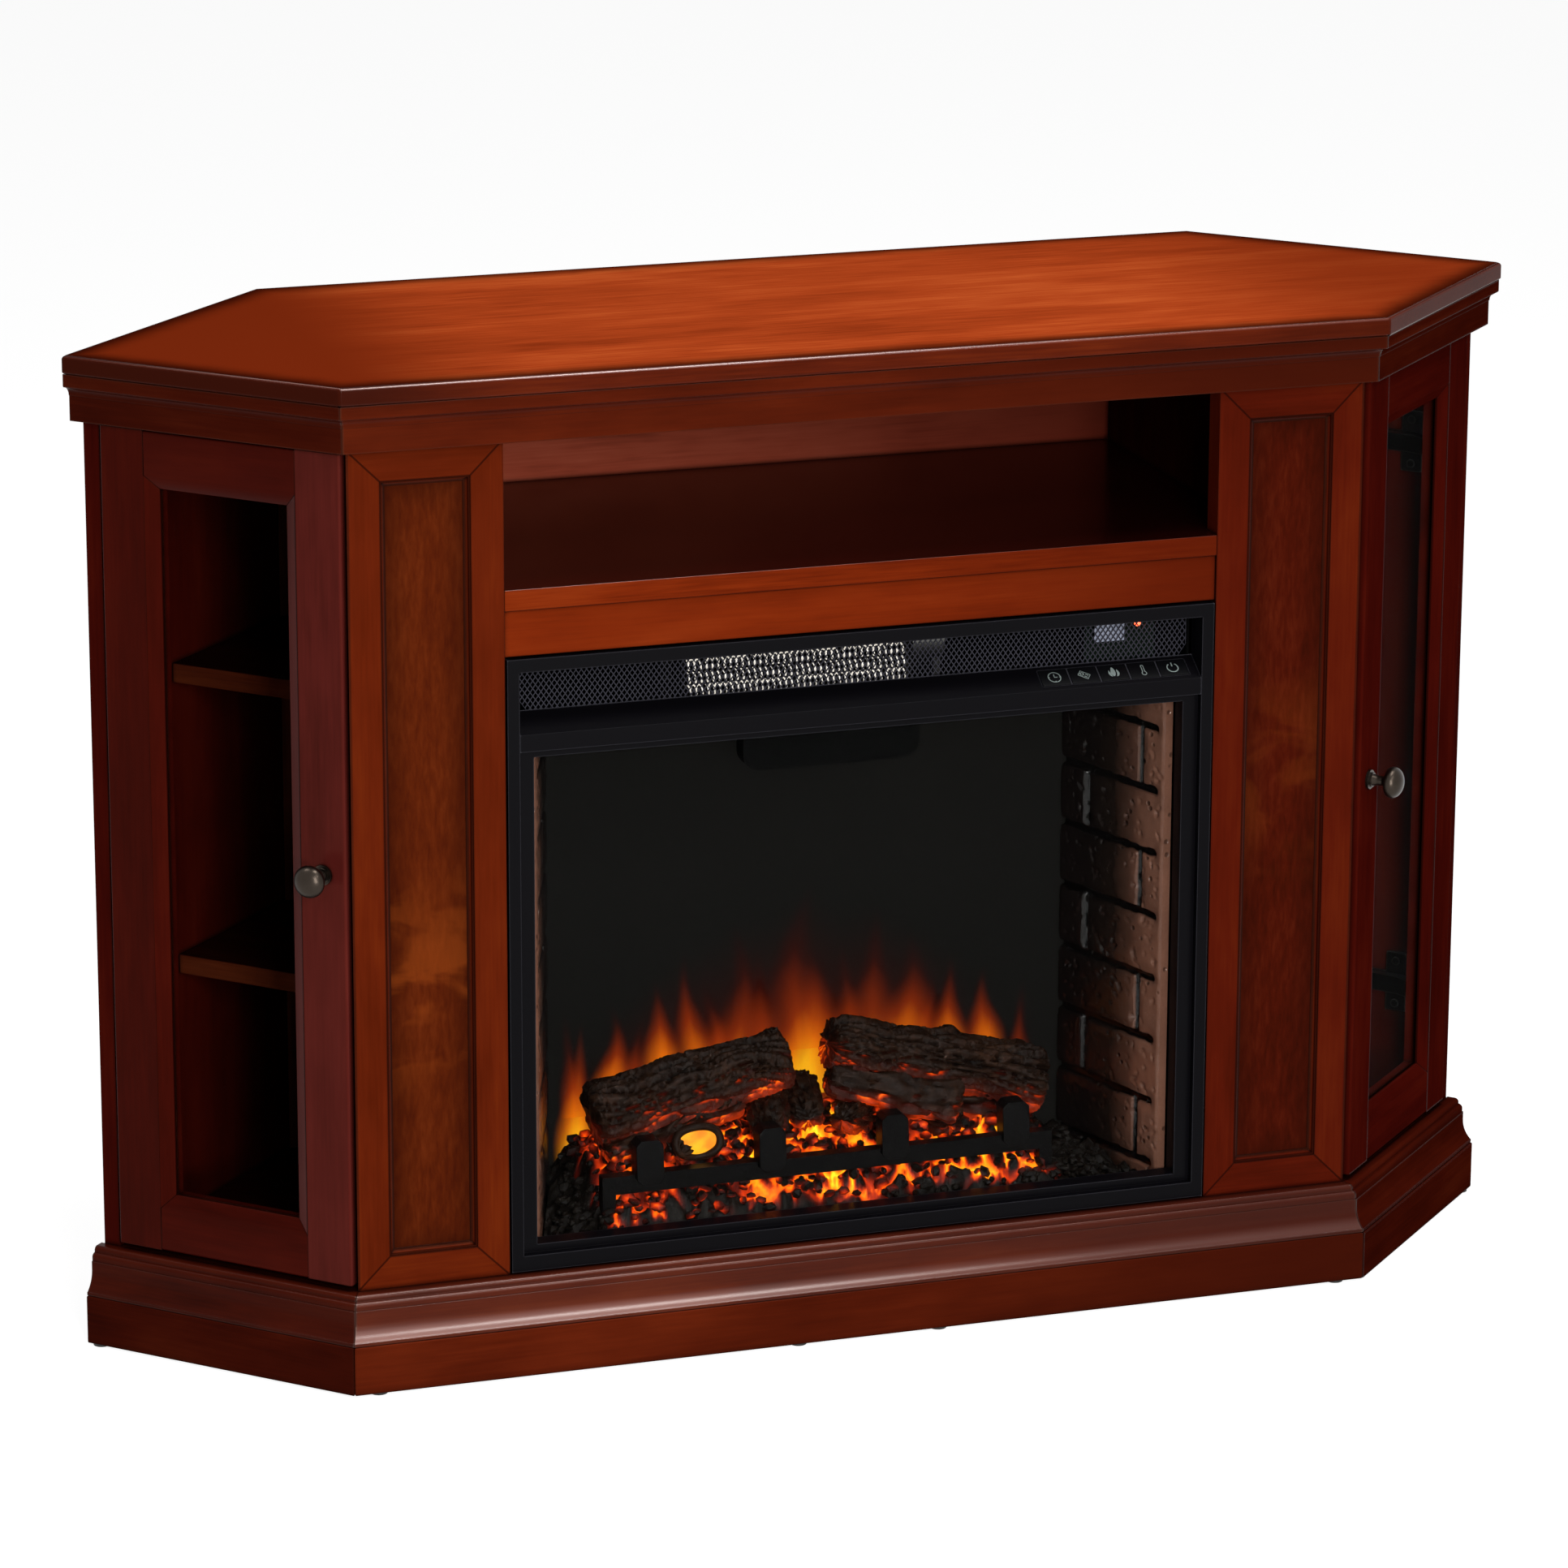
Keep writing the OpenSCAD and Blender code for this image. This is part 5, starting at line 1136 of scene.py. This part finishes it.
def insert():
    # The satin frame's light edge colour is a painted highlight.
    satin = metal("satin_black_sheet", "#08070a", 0.34, metallic=0, scale=120, shine=0.045, wear_and_highlight="#4a4950")
    dull = metal("dull_black_sheet", "#030303", 0.55, metallic=0, shine=0.02)
    mesh_black = metal("mesh_black", "#33323a", 0.35, metallic=0, scale=300, shine=0.07)
    dressed("insert_frame", "insert_surround", satin, 0.7*MM)
    paint("insert_casing", dull)
    paint("front_glass", clear_glass("hearth_pane", "#f4f5f4", 1.04))
    expanded_mesh(mesh_black)
    # The screen's faint emission paints light on it: painted light.
    paint("flame_screen", two_toned("flame_screen_face", (6, 2, 0.5), "#0b0b0a", "#100f0e", 0.7, 0.02,
        Emission_Color="#161513", Emission_Strength=0.3))
    grate(two_toned("cast_iron_black", (240, 4, 0.65), "#030303", "#0c0a0a", 0.3, 0.045, (0.45, 0.6*MM)))
    # The mica card is near black for the shade behind the mesh: painted shade.
    paint("heater_element", plastic("mica_card", "#060504", 0.5, shine=0.02))
    # The wire's white emission paints glints on it; the heater is not on.
    heater_coils(metal("heating_wire", "#ffffff", 0.25, metallic=0.3, Emission_Color="#fff6e6",
        Emission_Strength=0.6))
    paint("blower_wheel", metal("wheel_black", "#1b1b1b", 0.4, metallic=0.6))
    # The blower housing is near black for the shade behind the mesh: painted shade.
    paint("blower_housing", metal("blower_housing_sheet", "#050505", 0.5, metallic=0, shine=0.03))
    paint("flame_rotor", metal("flame_rotor_sheet", "#b8b7b2", 0.3))
    for node in ("blower_motor", "rotor_motor"):
        paint(node, metal(f"{node}_case", "#8b8a86", 0.4))
    paint("ember_lamps", plastic("lamp_board", "#c8bf8a", 0.5))
    paint("control_board", plastic("circuit_board", "#07140b", 0.45, shine=0.05))
    black_key = plastic("key_black", "#08080a", 0.38, shine=0.08)
    for key in KEY_ORDER:
        dressed(f"{key}_key", f"{key}_key_cap", black_key, 0.4*MM)
    key_signs(plastic("key_sign_pale", "#7f8a87", 0.5, shine=0.1))
    indicator()
    paint("cord_inlet", plastic("bush_rubber", "#121212", 0.7))
    clay = brick_clay()
    brick_wall("left", -1, clay)
    brick_wall("right", 1, clay)
    coal, bark = ember_coal(), bark_skin()
    ember_bed(coal)
    loose_coals(coal)
    logs(bark)
    lit_knot(bark)
    flames()


# ----- stage -----

def stage():
    """White studio: the world and floor look white but light the object evenly and softly."""
    scene = bpy.context.scene
    scene.view_settings.view_transform = "Standard"
    scene.world = bpy.data.worlds.new("studio")
    scene.world.use_nodes = True
    sky = Nodes(scene.world.node_tree)
    back = sky.tree.nodes["Background"].inputs
    sky.give(back["Color"], (1, 1, 1, 1))
    level = sky.node("MapRange", {"Value": sky.seen(), "To Min": 0.15, "To Max": 1})
    sky.give(back["Strength"], level.outputs[0])

    bm = bmesh.new()
    ops.create_grid(bm, x_segments=1, y_segments=1, size=9)
    mesh = bpy.data.meshes.new("floor")
    bm.to_mesh(mesh)
    bm.free()
    floor = linked("floor", mesh)
    r = Recipe("studio_floor")
    mesh.materials.append(r.set((0.38, 0.38, 0.38, 1), 0.9, 0,
        Emission_Color=(1, 1, 1, 1), Emission_Strength=r.mul(r.seen(), 0.88)))

    for name, place, aim, size, power in (
            ("overhead", (0.75, -0.7, 3.4), (0.6, -0.5, 0.5), (1.8, 0.5), 60),
            ("left_strip", (-1.85, 0.35, 3.3), (-0.4, 0, 0.6), (0.4, 1), 22),
            ("moulding_strip", (0.85, -2.6, 2.6), (-0.1, -0.2, 0.1), (0.9, 0.36), 17),
            ("key", (-0.5, -4.6, 2.2), (0, 0, 0.42), (1.2, 1.2), 86),
            ("low_front", (-0.3, -4.4, 0.8), (0, 0, 0.6), (1.2, 0.4), 70)):
        data = bpy.data.lights.new(name, "AREA")
        data.shape = "RECTANGLE"
        data.size, data.size_y = size
        data.energy = power
        lamp = linked(name, data)
        lamp.location = place
        lamp.rotation_euler = (Vector(aim) - Vector(place)).to_track_quat("-Z", "Y").to_euler()


def camera():
    """The camera of the photograph, from the fit of the cabinet's corners."""
    yaw, pitch, roll = 0.3157, 0.2615, 0.0033
    ahead = Vector((sin(yaw)*cos(pitch), cos(yaw)*cos(pitch), -sin(pitch)))
    level = Vector((cos(yaw), -sin(yaw), 0))
    upward = level.cross(ahead)
    right = level*cos(roll) + upward*sin(roll)
    top = upward*cos(roll) - level*sin(roll)
    data = bpy.data.cameras.new("photo_camera")
    data.sensor_width = 36
    data.lens = 143.43
    data.shift_y = -0.0999
    data.clip_end = 60
    cam = linked("photo_camera", data)
    pose = Matrix((right, top, -ahead)).transposed().to_4x4()
    pose.translation = (-1.5446, -4.68342, 1.86902)
    cam.matrix_world = pose
    bpy.context.scene.camera = cam


camera()
stage()
cabinet()
doors()
insert()

bpy.context.view_layer.update()
